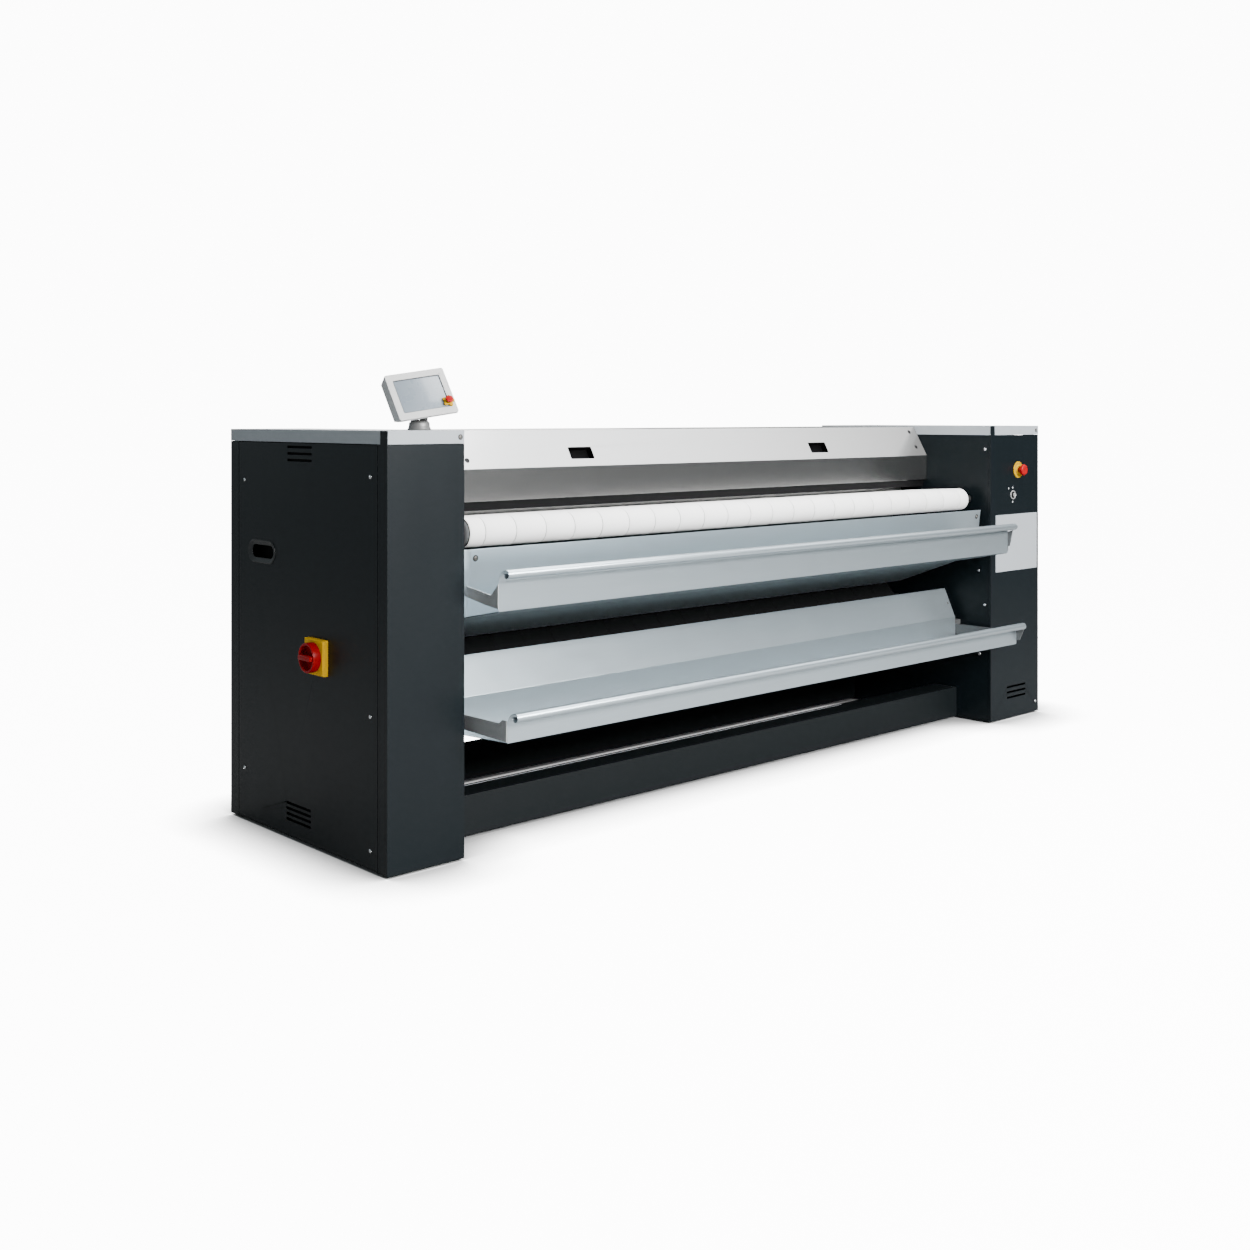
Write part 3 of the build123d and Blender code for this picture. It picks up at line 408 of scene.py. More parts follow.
class IronerColours(bpy.types.PropertyGroup):
    cabinet: colour_setting("Cabinet", "Charcoal paint of the cabinets", (0.0024, 0.0046, 0.006))
    cap: colour_setting("Caps", "Light paint of the caps and the blank plate", (0.3, 0.322, 0.342))
    hood: colour_setting("Hood", "Brushed steel of the hood", (0.74, 0.74, 0.73))
    tray: colour_setting("Trays", "Satin steel of the trays", (0.425, 0.49, 0.525))
    band: colour_setting("Feed bands", "White webbing of the feed bands", (0.92, 0.925, 0.92))
    # Painted shade: the belts are made near-black so the gap under the upper tray, where they show,
    # reads as deep shade.
    belt: colour_setting("Ironing belts", "Heat-resistant webbing", (0.004, 0.0044, 0.005))
    red: colour_setting("Red", "Stop buttons and isolator knob", (0.27, 0.002, 0.004))
    yellow: colour_setting("Yellow", "Stop rings and isolator plate", (0.66, 0.37, 0.0))
    head: colour_setting("Control head", "Light grey housing", (0.45, 0.45, 0.445))


class IronerSizes(bpy.types.PropertyGroup):
    edge: length_setting("Edge radius", "Bend radius of the sheet edges", 0.0008)
    rim: length_setting("Band edge", "Rounding of a feed band's edges", 0.0007)
    seam: length_setting("Band seam", "Extra gap at each side of a feed band", 0.0004)
    belt_spread: length_setting("Belt spread", "Extra width at each side of a belt", 0.0046)
    screw: length_setting("Screw head", "Radius of a cover screw's head", 0.005)


def colours():
    return bpy.context.scene.ironer_colours


def sizes():
    return bpy.context.scene.ironer_sizes


# ------------------------------------------------------------------ mesh helpers


def new_piece(name, bm, body, material, replaced=()):
    """Turn a bmesh into a finished piece that rides on a body."""
    bmesh.ops.remove_doubles(bm, verts=bm.verts, dist=1e-6)
    bmesh.ops.recalc_face_normals(bm, faces=bm.faces)
    mesh = bpy.data.meshes.new(name)
    bm.to_mesh(mesh)
    bm.free()
    piece = bpy.data.objects.new(name, mesh)
    bpy.context.scene.collection.objects.link(piece)
    mesh.shade_smooth()
    mesh.set_sharp_from_angle(angle=SHARP_ANGLE)
    for item in material if isinstance(material, (list, tuple)) else [material]:
        mesh.materials.append(item)
    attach(piece, body)
    if replaced:
        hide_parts(*replaced)
    return piece


def facing(origin, out, across=None):
    """Frame at a place whose local Z points out and whose local X runs across."""
    out = Vector(out).normalized()
    across = Vector(across) if across else out.orthogonal()
    across = (across - out * across.dot(out)).normalized()
    up = out.cross(across)
    turn = Matrix((across, up, out)).transposed().to_4x4()
    return Matrix.Translation(origin) @ turn


def moved(where, x, y, z):
    """A frame moved along its own axes, in millimetres."""
    return where @ Matrix.Translation((x * MM, y * MM, z * MM))


def joined(bm, part, where, index):
    """Place a part made at the origin, give it its material, and add it to a piece."""
    bmesh.ops.transform(part, matrix=where, verts=part.verts)
    for face in part.faces:
        face.material_index = index
    mesh = bpy.data.meshes.new("part")
    part.to_mesh(mesh)
    part.free()
    bm.from_mesh(mesh)
    bpy.data.meshes.remove(mesh)


def turned(bm, profile, where, steps=48, closed=False, flutes=None, index=0, stretch=0.0):
    """Spin a (radius, height) profile in millimetres round the local Z of a frame.

    Flutes are a count, a depth and the radius from which they start. A stretch moves
    the two halves apart along the local X, which makes an oval.
    """
    part = bmesh.new()
    points = [part.verts.new((r * MM, 0, h * MM)) for r, h in profile]
    pairs = list(zip(points, points[1:]))
    if closed:
        pairs.append((points[-1], points[0]))
    edges = [part.edges.new(pair) for pair in pairs]
    bmesh.ops.spin(
        part,
        geom=points + edges,
        cent=(0, 0, 0),
        axis=(0, 0, 1),
        angle=2 * math.pi,
        steps=steps,
        use_merge=True,
        use_duplicate=False,
    )
    if flutes:
        count, depth, start = flutes
        for vert in part.verts:
            radius = math.hypot(vert.co.x, vert.co.y)
            if radius > start * MM:
                wave = math.cos(count * math.atan2(vert.co.y, vert.co.x))
                swell = 1 + depth * MM * wave / radius
                vert.co.x *= swell
                vert.co.y *= swell
    for vert in part.verts:
        vert.co.x += math.copysign(stretch * MM, vert.co.x)
    joined(bm, part, where, index)


def rounded(bm, edges, radius, segments):
    """Round edges of a mesh."""
    bmesh.ops.bevel(
        bm,
        geom=edges,
        offset=radius,
        offset_type="OFFSET",
        affect="EDGES",
        segments=segments,
        profile=0.5,
        material=-1,
    )


def boxed(bm, size, where, bevel, segments=2, index=0):
    """Rounded box in millimetres, centred on a frame."""
    part = bmesh.new()
    bmesh.ops.create_cube(part, size=1)
    scale = Matrix.Diagonal((*[s * MM for s in size], 1))
    bmesh.ops.transform(part, matrix=scale, verts=part.verts)
    rounded(part, part.edges, bevel * MM, segments)
    joined(bm, part, where, index)


def copied(name):
    """A merged copy of a CAD node's mesh, ready for shaping."""
    bm = bmesh.new()
    bm.from_mesh(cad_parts[name].data)
    bmesh.ops.remove_doubles(bm, verts=bm.verts, dist=1e-5)
    bmesh.ops.dissolve_limit(
        bm, angle_limit=math.radians(1), verts=bm.verts, edges=bm.edges, delimit={"NORMAL"}
    )
    return bm


# ------------------------------------------------------------------ finishes


def node_finishes():
    """One material for each finish, and the nodes that wear it."""
    c = colours()
    cabinet = powder_coat("cabinet_paint", c.cabinet, 0.37)
    cap = powder_coat("cap_paint", c.cap, 0.4)
    hood = hood_steel("hood_steel", c.hood)
    tray = brushed("tray_steel", c.tray, rough=0.31, metallic=0.82, grain=900)
    frame_paint = powder_coat("frame_paint", (0.012, 0.014, 0.016), 0.5)
    beam = powder_coat("beam_paint", (0.003, 0.0046, 0.0054), 0.5)
    bracket = end_steel("bracket_steel", (0.46, 0.475, 0.48))
    roller = brushed("roller_steel", (0.5, 0.51, 0.52), (1, 0.02, 0.02), 0.28)
    cylinder = brushed("cylinder_steel", (0.4, 0.4, 0.395), (1, 0.02, 0.02), 0.3)
    dark_roller = brushed("dark_roller", (0.03, 0.034, 0.037), (1, 0.02, 0.02), 0.35, 0.5)
    dark_panel = shaded_panel("dark_panel", (0.16, 0.195, 0.21))
    guard = moulded("guard_plastic", (0.0035, 0.0037, 0.004), 0.6, shine=0.08)
    # Near-black grip-cup plastic: the cups' own black, made darker still as painted shade for their
    # hollows; the vent sheets wear it too.
    cup = moulded("cup_plastic", (0.0015, 0.0015, 0.0016), 0.6, shine=0.04)
    rubber = moulded("roller_rubber", (0.02, 0.02, 0.02), 0.6, shine=0.1)
    dark = moulded("dark_plastic", (0.012, 0.013, 0.014), 0.5)
    head = moulded("head_plastic", c.head, 0.42)
    yellow = moulded("yellow_plastic", c.yellow, 0.4, shine=0.1)
    red = moulded("red_plastic", c.red, 0.3, shine=0.12)
    screen = display("display_glass", (0.17, 0.2, 0.23))
    stand = brushed("stand_grey", (0.15, 0.15, 0.147), (1, 1, 0.02), 0.45, 0.4)
    chrome = brushed("polished_chrome", (0.72, 0.73, 0.74), (1, 1, 1), 0.16, 1.0, 400)
    iron = cast_metal("bearing_iron", (0.16, 0.16, 0.165), 0.55)
    brass = brushed("bush_brass", (0.6, 0.42, 0.16), (0.05, 1, 1), 0.32)
    zinc = cast_metal("zinc_plate", (0.5, 0.52, 0.53), 0.5)
    motor = powder_coat("motor_paint", (0.03, 0.055, 0.09), 0.45)
    fan = cast_metal("fan_aluminium", (0.6, 0.61, 0.62), 0.45)
    return {
        cabinet: [
            "left_front_cover",
            "left_side_panel",
            "left_inner_cover",
            "left_rear_cover",
            "right_front_cover",
            "right_side_panel",
            "right_inner_cover",
            "right_rear_cover",
            "rear_cover",
        ],
        cap: ["left_cap", "right_cap", "front_blank_plate"],
        hood: ["hood", "hood_cheeks"],
        tray: ["upper_tray", "lower_tray"],
        frame_paint: ["left_frame", "right_frame"],
        beam: ["front_beam", "rear_beam"],
        bracket: ["tray_brackets"],
        roller: ["belt_entry_roller", "belt_top_roller", "drive_chains", "hood_hinge_pins"],
        rubber: ["feed_roller", "feed_rear_roller"],
        cylinder: ["cylinder"],
        dark_roller: ["delivery_roller", "belt_tension_roller"],
        dark_panel: ["tray_underside"],
        guard: ["finger_guard"],
        dark: ["isolator_switch", "cable_gland", "head_knuckle"],
        cup: ["hood_grip_cups", "left_grip_cup"],
        head: ["head_shell"],
        stand: ["head_pedestal"],
        yellow: ["isolator_plate", "right_estop_ring", "head_estop_ring"],
        red: ["isolator_knob", "right_estop_head", "head_estop_head"],
        screen: ["head_screen"],
        chrome: ["key_switch_bezel", "key_barrel", "cover_screws"],
        iron: ["cylinder_bearings", "cylinder_sprocket", "drive_sprocket"],
        brass: ["roller_bearings"],
        zinc: ["heating_elements", "exhaust_fan_housing", "electrical_plate"],
        motor: ["drive_motor"],
        fan: ["fan_impeller"],
        moulded("foot_rubber", (0.02, 0.02, 0.02), 0.7, 500): ["levelling_feet"],
        woven("band_webbing", c.band): ["feed_bands"],
        woven("belt_webbing", c.belt, 0.0016, sheen=0.03): ["ironing_belts"],
        moulded("print_ink", (0.45, 0.47, 0.48), 0.4): [],
        brushed("satin_ring", (0.4, 0.4, 0.4), (1, 1, 1), 0.38, 0.45, 400): [],
        brushed("dull_screws", (0.13, 0.125, 0.115), (1, 1, 1), 0.35, 0.7, 400): [],
        moulded("shadow_gap", (0.01, 0.01, 0.01), 0.6): [],
        # Painted light: a darker copy of the yellow for the stop discs that face the lamps; the
        # plate's brighter yellow makes up for the shade on the isolator.
        moulded("yellow_facing_lamps", shade(c.yellow, 0.62), 0.45, shine=0.1): [],
        brushed("black_screws", (0.012, 0.012, 0.013), (1, 1, 1), 0.4, 0.6, 400): [],
    }


SHEET_NODES = (
    "left_front_cover left_side_panel left_rear_cover left_cap right_front_cover right_side_panel "
    "right_rear_cover right_cap front_blank_plate rear_cover hood front_beam rear_beam "
    "tray_brackets tray_underside upper_tray lower_tray finger_guard left_grip_cup hood_grip_cups"
).split()


class IRONER_OT_finishes(bpy.types.Operator):
    """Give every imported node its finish, and round the sheet edges"""

    bl_idname = "ironer.finishes"
    bl_label = "Finishes and edges"

    def execute(self, context):
        for material, names in node_finishes().items():
            for name in names:
                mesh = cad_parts[name].data
                mesh.materials.clear()
                mesh.materials.append(material)
        for name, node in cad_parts.items():
            weld = node.modifiers.new("weld", "WELD")
            weld.merge_threshold = 0.00001
            if name in SHEET_NODES:
                edge = node.modifiers.new("edge", "BEVEL")
                edge.width = sizes().edge
                edge.segments = 2
                edge.limit_method = "ANGLE"
                edge.angle_limit = SHARP_ANGLE
                edge.use_clamp_overlap = True
                edge.harden_normals = False
        return {"FINISHED"}


# ------------------------------------------------------------------ feed and ironing bands


def widened(bm, amount):
    """Move the side faces of every band outwards by an amount."""
    for side in (-1, 1):
        ends = {v for f in bm.faces if f.normal.x * side > 0.9 for v in f.verts}
        bmesh.ops.translate(bm, verts=list(ends), vec=(side * amount, 0, 0))


class IRONER_OT_feed_bands(bpy.types.Operator):
    """Make the white feed bands with rounded edges and a small gap between them"""

    bl_idname = "ironer.feed_bands"
    bl_label = "Feed bands"

    def execute(self, context):
        bm = copied("feed_bands")
        bm.normal_update()
        widened(bm, -sizes().seam)
        for edge in bm.edges:
            edge.smooth = True
        rims = [
            e
            for e in bm.edges
            if len(e.link_faces) == 2 and e.calc_face_angle(0) > math.radians(60)
        ]
        rounded(bm, rims, sizes().rim, 2)
        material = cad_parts["feed_bands"].data.materials[0]
        names = ["feed_bands"]
        piece = new_piece("feed_band_webbing", bm, "machine", material, names)
        return {"FINISHED"}


class IRONER_OT_ironing_belts(bpy.types.Operator):
    """Make the heat-resistant belts that lie on the cylinder"""

    bl_idname = "ironer.ironing_belts"
    bl_label = "Ironing belts"

    def execute(self, context):
        bm = copied("ironing_belts")
        bm.normal_update()
        widened(bm, sizes().belt_spread)
        area = sum(f.calc_area() for f in bm.faces) / 2
        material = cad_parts["ironing_belts"].data.materials[0]
        names = ["ironing_belts"]
        piece = new_piece("ironing_belt_webbing", bm, "machine", material, names)
        low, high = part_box("ironing_belts")
        wide = high[0] - low[0]
        area / wide
        return {"FINISHED"}


# ------------------------------------------------------------------ controls and fittings


def ink(name):
    """A finish that the first operator made."""
    return FINISHES[name]


HEAD_ACROSS = Vector(
    (
        math.cos(HEAD_TURN),
        math.sin(HEAD_TURN) * math.cos(HEAD_TILT),
        -math.sin(HEAD_TURN) * math.sin(HEAD_TILT),
    )
)
HEAD_OUT = Vector(
    (
        math.sin(HEAD_TURN),
        -math.cos(HEAD_TURN) * math.cos(HEAD_TILT),
        math.cos(HEAD_TURN) * math.sin(HEAD_TILT),
    )
)


def head_frame(across, up, out=0.0):
    """Frame on the control head's face, moved by millimetres."""
    return moved(facing(spot(*HEAD_PLACE), HEAD_OUT, HEAD_ACROSS), across, up, out)


class IRONER_OT_isolator(bpy.types.Operator):
    """Make the isolator's dished red handle with its grip bar"""

    bl_idname = "ironer.isolator"
    bl_label = "Isolator handle"

    def execute(self, context):
        where = facing(spot(*ISOLATOR_PLACE), LEFTWARD, FORWARD)
        bm = bmesh.new()
        dish = [(0, -55), (5, -55), (5, 0), (37, 0), (38, 1), (38, 19), (37.2, 21), (35.6, 21.7)]
        dish += [(33.6, 21.7), (32.2, 21), (31.2, 19), (30.4, 5.6), (29, 4.2), (0, 3.8)]
        turned(bm, dish, where, 96)
        boxed(bm, (62, 14, 25), moved(where, 0, 0, 15.4), 4.4, 4)
        for side in (-27, 27):
            boxed(bm, (9, 24, 6), moved(where, side, 0, 5), 1.5)
        red = ink("red_plastic")
        new_piece("isolator_handle", bm, "isolator_knob", red, ["isolator_knob"])
        return {"FINISHED"}


class IRONER_OT_right_stop(bpy.types.Operator):
    """Make the right cabinet's stop button and its yellow disc"""

    bl_idname = "ironer.right_stop"
    bl_label = "Right stop button"

    def execute(self, context):
        where = facing(spot(*RIGHT_STOP_PLACE), FORWARD, RIGHTWARD)
        bm = bmesh.new()
        disc = [(9.2, 0), (30, 0), (30, 1.2), (29, 2.4), (26.8, 2.8), (25, 2.2), (23.8, 1.5)]
        disc += [(16.5, 1.5), (15.4, 2.2), (14.8, 4), (13.6, 4.9), (10.4, 5), (9.2, 4.6)]
        turned(bm, disc, where, 72, closed=True)
        barrel = [(9.2, 0), (9.2, -43), (12, -43), (12, 0)]
        turned(bm, barrel, where, 32, closed=True)
        for side in (-17, 17):
            boxed(bm, (9.5, 44, 40), moved(where, side, 0, -23.5), 1, 1, 1)
            boxed(bm, (24, 9.5, 40), moved(where, 0, side, -23.5), 1, 1, 1)
        skins = [ink("yellow_facing_lamps"), ink("dark_plastic")]
        names = ["right_estop_ring"]
        new_piece("right_stop_disc", bm, "machine", skins, names)

        bm = bmesh.new()
        cap = [(0, -34), (8.9, -34), (8.9, 9.6), (12.8, 9.8), (13.4, 12.6), (14.4, 15)]
        cap += [(16.4, 16.6), (18.4, 17.4), (19.3, 19), (19.3, 25.5), (18.2, 28), (15.4, 29.4)]
        cap += [(11, 29.9), (9.4, 29.3), (0, 29.1)]
        turned(bm, cap, where, 96, flutes=(8, 0.75, 10))
        names = ["right_estop_head"]
        red = ink("red_plastic")
        new_piece("right_stop_cap", bm, "right_stop_button", red, names)
        return {"FINISHED"}


class IRONER_OT_head_stop(bpy.types.Operator):
    """Make the control head's small stop button and its lobed yellow collar"""

    bl_idname = "ironer.head_stop"
    bl_label = "Control head stop"

    def execute(self, context):
        where = head_frame(60, -33)
        bm = bmesh.new()
        collar = [(5.2, 0.2), (13.6, 0.2), (13.8, 2.4), (13.2, 3.6), (11.4, 4.2), (9.4, 3.6)]
        collar += [(8.4, 3.6), (7.6, 4.6), (5.2, 4.6)]
        turned(bm, collar, where, 100, closed=True, flutes=(5, 2.8, 10.4))
        turned(bm, [(5.2, 0.2), (5.2, -24), (9, -24), (9, 0.2)], where, 32, closed=True)
        yellow = ink("yellow_facing_lamps")
        names = ["head_estop_ring"]
        new_piece("head_stop_collar", bm, "control_head", yellow, names)

        bm = bmesh.new()
        cap = [(0, -17), (4.9, -17), (4.9, 8.6), (6.6, 8.9), (8.6, 9.1), (9.4, 9.8), (9.6, 11.6)]
        cap += [(9, 13), (7.4, 13.6), (0, 13.6)]
        turned(bm, cap, where, 72, flutes=(8, 0.5, 6.5))
        for step in (-4.8, -2.4, 0, 2.4, 4.8):
            rib = (1.1, 2 * math.sqrt(52 - step * step) - 2, 1)
            boxed(bm, rib, moved(where, step, 0, 13.5), 0.3, 1)
        names = ["head_estop_head"]
        red = ink("red_plastic")
        new_piece("head_stop_cap", bm, "head_stop_button", red, names)
        return {"FINISHED"}


class IRONER_OT_key_switch(bpy.types.Operator):
    """Make the key switch, and the plain position marks round it"""

    bl_idname = "ironer.key_switch"
    bl_label = "Key switch"

    def execute(self, context):
        where = facing(spot(*KEY_PLACE), FORWARD, RIGHTWARD)
        bm = bmesh.new()
        ring = [(12.8, 0.1), (15.8, 0.1), (16, 1.4), (15.3, 2.3), (13.6, 2.3), (12.8, 1.6)]
        turned(bm, ring, where, 64, closed=True)
        recess = [(8.3, 0.2), (13, 0.2), (13, 0.7), (8.3, 0.7)]
        turned(bm, recess, where, 40, closed=True, index=1)
        sleeve = [(8.3, 0.8), (11, 0.8), (11, -40), (8.3, -40)]
        turned(bm, sleeve, where, 40, closed=True, index=1)
        skins = [ink("satin_ring"), ink("shadow_gap")]
        names = ["key_switch_bezel"]
        new_piece("key_switch_ring", bm, "machine", skins, names)

        bm = bmesh.new()
        turned(bm, [(0, -34), (7.9, -34), (7.9, 7.2)], where, 48, index=1)
        barrel = [(7.9, 7.2), (7.9, 8.2), (7.2, 9.2), (5.8, 9.4), (5.2, 8.8), (4.8, 7.6), (0, 7.4)]
        turned(bm, barrel, where, 48)
        slot = moved(where, 0, 0, 7.4)
        boxed(bm, (1.7, 8, 0.5), slot, 0.1, 1, 1)
        boxed(bm, (3.4, 3.4, 0.5), slot, 0.1, 1, 1)
        new_piece("key_switch_barrel", bm, "key_barrel", skins, ["key_barrel"])

        bm = bmesh.new()
        for x, z, radius, corners in (
            (2682, 836.5, 5.2, 3),
            (2656, 834, 3.2, 20),
            (2682, 785, 3.4, 20),
        ):
            place = facing(spot(x, 0, z), FORWARD, UPWARD)
            bmesh.ops.create_cone(
                bm,
                cap_ends=True,
                segments=corners,
                radius1=radius * MM,
                radius2=radius * MM,
                depth=0.0004,
                matrix=place,
            )
        new_piece("key_switch_marks", bm, "machine", ink("print_ink"))
        return {"FINISHED"}


def screw_head(bm, place, radius, height, sunk=0.0, rim=1.2):
    """Button-head screw with a round socket, ringed by a dark ring of painted shade unless it is
    sunk.
    """
    # Painted shade: a near-black ring round the head stands in for the shade at its edge.
    if not sunk:
        wide = radius + rim
        shade_ring = [(radius - 1, 0.05), (wide, 0.05), (wide - 0.1, 0.4), (radius - 1, 0.4)]
        turned(bm, shade_ring, place, 18, closed=True, index=1)
    where = moved(place, 0, 0, -sunk)
    profile = [(0, 0.45), (0.36, 0.45), (0.42, 0.98), (0.6, 1), (0.86, 0.72), (1, 0.3), (1, 0)]
    turned(bm, [(r * radius, h * height) for r, h in profile], where, 18)


class IRONER_OT_screws(bpy.types.Operator):
    """Make the heads of the cover, hood and tray screws"""

    bl_idname = "ironer.screws"
    bl_label = "Screws"

    def execute(self, context):
        size = sizes().screw / MM
        flush = [(691, 923), (73, 949), (73, 374), (691, 143)]
        inner = [(23, 977), (50, 542), (24, 421), (47, 244)]
        caps = [(213, 1043), (2839, 1043)]
        bm = bmesh.new()
        for y, z in flush + [(73, 53)]:
            screw_head(bm, facing(spot(0, y, z), LEFTWARD), size, 2)
        for y, z in flush:
            screw_head(bm, facing(spot(CASING_WIDTH, y, z), RIGHTWARD), size, 1.4, 1.45)
        for y, z in inner:
            for x, out in zip(INNER_FACES, (RIGHTWARD, LEFTWARD)):
                screw_head(bm, facing(spot(x, y, z), out), size, 2)
        screw_head(bm, facing(spot(2834, 0, 42), FORWARD), size, 2)
        names = ["cover_screws"]
        skins = [ink("polished_chrome"), ink("shadow_gap")]
        new_piece("cover_screw_heads", bm, "machine", skins, names)

        bm = bmesh.new()
        for x, z in caps:
            screw_head(bm, facing(spot(x, 0, z), FORWARD), size, 2, rim=2)
        for x in (278, 2489.5):
            screw_head(bm, facing(spot(x, 25.4, 739), TRAY_PANEL_OUT), 5.5, 2.4, rim=3)
            screw_head(bm, facing(spot(x, 147, 420), (0, -100, 44)), 4.5, 1.8, rim=2)
        bolts = [(x, z) for z in (1030, 585, 150) for x in (260, 820, 1382, 1945, 2505)]
        bolts += [(x, z) for z in (1010, 540, 40) for x in (22, 203, 2562, 2833)]
        for x, z in bolts:
            screw_head(bm, facing(spot(x, CASING_DEPTH, z), BACKWARD), 4.5, 1.8)
        skins = [ink("dull_screws"), ink("shadow_gap")]
        new_piece("tray_and_rear_screws", bm, "machine", skins)

        bm = bmesh.new()
        back, up = HOOD_RISE
        for x, along in ((444, 28), (444, 99), (2494, 37), (2494, 99.6)):
            y, z = HOOD_FOOT[0] + along * back, HOOD_FOOT[1] + along * up
            screw_head(bm, facing(spot(x, y, z), (0, -up, back)), 6.5, 3)
        skins = [ink("black_screws"), ink("shadow_gap")]
        new_piece("hood_screws", bm, "hood", skins)
        return {"FINISHED"}


class IRONER_OT_feet(bpy.types.Operator):
    """Make the levelling feet with their nuts and threaded studs"""

    bl_idname = "ironer.feet"
    bl_label = "Levelling feet"

    def execute(self, context):
        bm = bmesh.new()
        pad = [(0, 0), (23, 0), (25, 1.6), (25, 7), (23.4, 9.4), (12, 11.4), (0, 11.8)]
        stud = [(0, 11), (5.4, 11)]
        for i in range(9):
            low = 12 + i * 3
            stud += [(5.2, low), (5.9, low + 1.5)]
        stud += [(5.2, 39.2), (4.4, 40), (0, 40)]
        for x in FOOT_COLUMNS:
            for y in FOOT_ROWS:
                where = facing(spot(x, y, 0), UPWARD, RIGHTWARD)
                turned(bm, pad, where, 40)
                turned(bm, stud, where, 20, index=1)
                nut = [(0, 0), (10, 0), (10, 6.4), (0, 6.4)]
                turned(bm, nut, moved(where, 0, 0, 18), 6, index=1)
        skins = [ink("foot_rubber"), ink("zinc_plate")]
        new_piece("foot_pads", bm, "machine", skins, ["levelling_feet"])
        return {"FINISHED"}


class IRONER_OT_gland(bpy.types.Operator):
    """Make the ribbed cable gland on the back"""

    bl_idname = "ironer.gland"
    bl_label = "Cable gland"

    def execute(self, context):
        where = facing(spot(*GLAND_PLACE), BACKWARD, RIGHTWARD)
        bm = bmesh.new()
        body = [(9.1, -12), (15.8, -12), (15.8, 0), (19.4, 0), (19.4, 8.6), (18.6, 9.8)]
        body += [(16, 10), (15.6, 13.4), (13.6, 16.6), (11.2, 17.9), (9.1, 17.9)]
        turned(bm, body, where, 72, closed=True, flutes=(12, 0.5, 18))
        nut = [(16.2, -9.4), (19.6, -9.4), (19.6, -1.6), (16.2, -1.6)]
        turned(bm, nut, where, 6, closed=True)
        dark = ink("dark_plastic")
        new_piece("cable_gland_nut", bm, "machine", dark, ["cable_gland"])
        return {"FINISHED"}


class IRONER_OT_roller_ends(bpy.types.Operator):
    """Make the dark ringed hubs at the ends of the feed rollers"""

    bl_idname = "ironer.roller_ends"
    bl_label = "Roller hubs"

    def execute(self, context):
        bm = bmesh.new()
        left, right = ROLLER_ENDS
        hub = [(11, 30), (17, 30), (18.4, 28.6), (18.4, 20), (22, 19.4), (22.6, 18), (22.6, 13)]
        hub += [(26, 12.4), (26.8, 7), (31, 6.4), (33, 4.2), (34.6, 0.4), (11, 0.4)]
        turned(bm, hub, facing(spot(right, *FEED_AXIS), RIGHTWARD), 56, closed=True)
        disc = [(11, 6), (17, 6), (18, 4.6), (27, 4), (31, 2.6), (34.6, 0.4), (11, 0.4)]
        turned(bm, disc, facing(spot(left, *FEED_AXIS), LEFTWARD), 56, closed=True, index=1)
        skins = [ink("black_screws"), ink("bracket_steel")]
        new_piece("feed_roller_hubs", bm, "feed_roller", skins)

        bm = bmesh.new()
        small = [(11, 6), (15, 6), (16, 4.4), (20.5, 3.4), (22, 0.4), (11, 0.4)]
        for x, out in ((left, LEFTWARD), (right, RIGHTWARD)):
            turned(bm, small, facing(spot(x, *REAR_FEED_AXIS), out), 40, closed=True)
        skin = ink("black_screws")
        new_piece("rear_feed_roller_hubs", bm, "feed_rear_roller", skin)
        return {"FINISHED"}


class IRONER_OT_head_boot(bpy.types.Operator):
    """Make the round sleeve at the foot of the control head's stand"""

    bl_idname = "ironer.head_boot"
    bl_label = "Control head sleeve"

    def execute(self, context):
        bm = bmesh.new()
        sleeve = [(29.9, 0.3), (30.4, 1.6), (28.6, 3), (26.8, 5.4), (26, 8.4), (25.8, 16.4)]
        sleeve += [(24.9, 18.4), (23, 21), (19, 23.6), (12, 25.2), (0, 25.4)]
        turned(bm, sleeve, facing(spot(*SLEEVE_PLACE), UPWARD), 64)
        new_piece("head_sleeve", bm, "machine", ink("stand_grey"))
        return {"FINISHED"}


class IRONER_OT_display(bpy.types.Operator):
    """Make the recessed display and the dark border round it, painted shade for the recess's walls
    """

    bl_idname = "ironer.display"
    bl_label = "Display"

    def execute(self, context):
        bm = bmesh.new()
        boxed(bm, (120.6, 92.6, 1.0), head_frame(0, -0.5, -2.45), 0.25)
        # Painted shade: a dark border on the walls of the display's recess.
        wide, tall, rim = 122.4, 94.4, 1.3
        for side in (-1, 1):
            edge = head_frame(0, -0.5 + side * (tall - rim) / 2, -1.7)
            boxed(bm, (wide, rim, 2.2), edge, 0.3, 1, 1)
            edge = head_frame(side * (wide - rim) / 2, -0.5, -1.7)
            boxed(bm, (rim, tall, 2.2), edge, 0.3, 1, 1)
        skins = [ink("display_glass"), ink("shadow_gap")]
        new_piece("display_panel", bm, "control_head", skins, ["head_screen"])
        return {"FINISHED"}


class IRONER_OT_tray_ends(bpy.types.Operator):
    """Widen the upper tray's rear panel towards the cabinets with flat end plates"""

    bl_idname = "ironer.tray_ends"
    bl_label = "Tray panel ends"

    def execute(self, context):
        bm = bmesh.new()
        for low, high in ((239, 261), (2504, 2511)):
            place = spot((low + high) / 2, *TRAY_PANEL_MIDDLE)
            middle = facing(place, TRAY_PANEL_OUT, RIGHTWARD)
            boxed(bm, (high - low, 173.4, 1.5), middle, 0.3)
        new_piece("upper_tray_ends", bm, "machine", ink("tray_steel"))
        return {"FINISHED"}


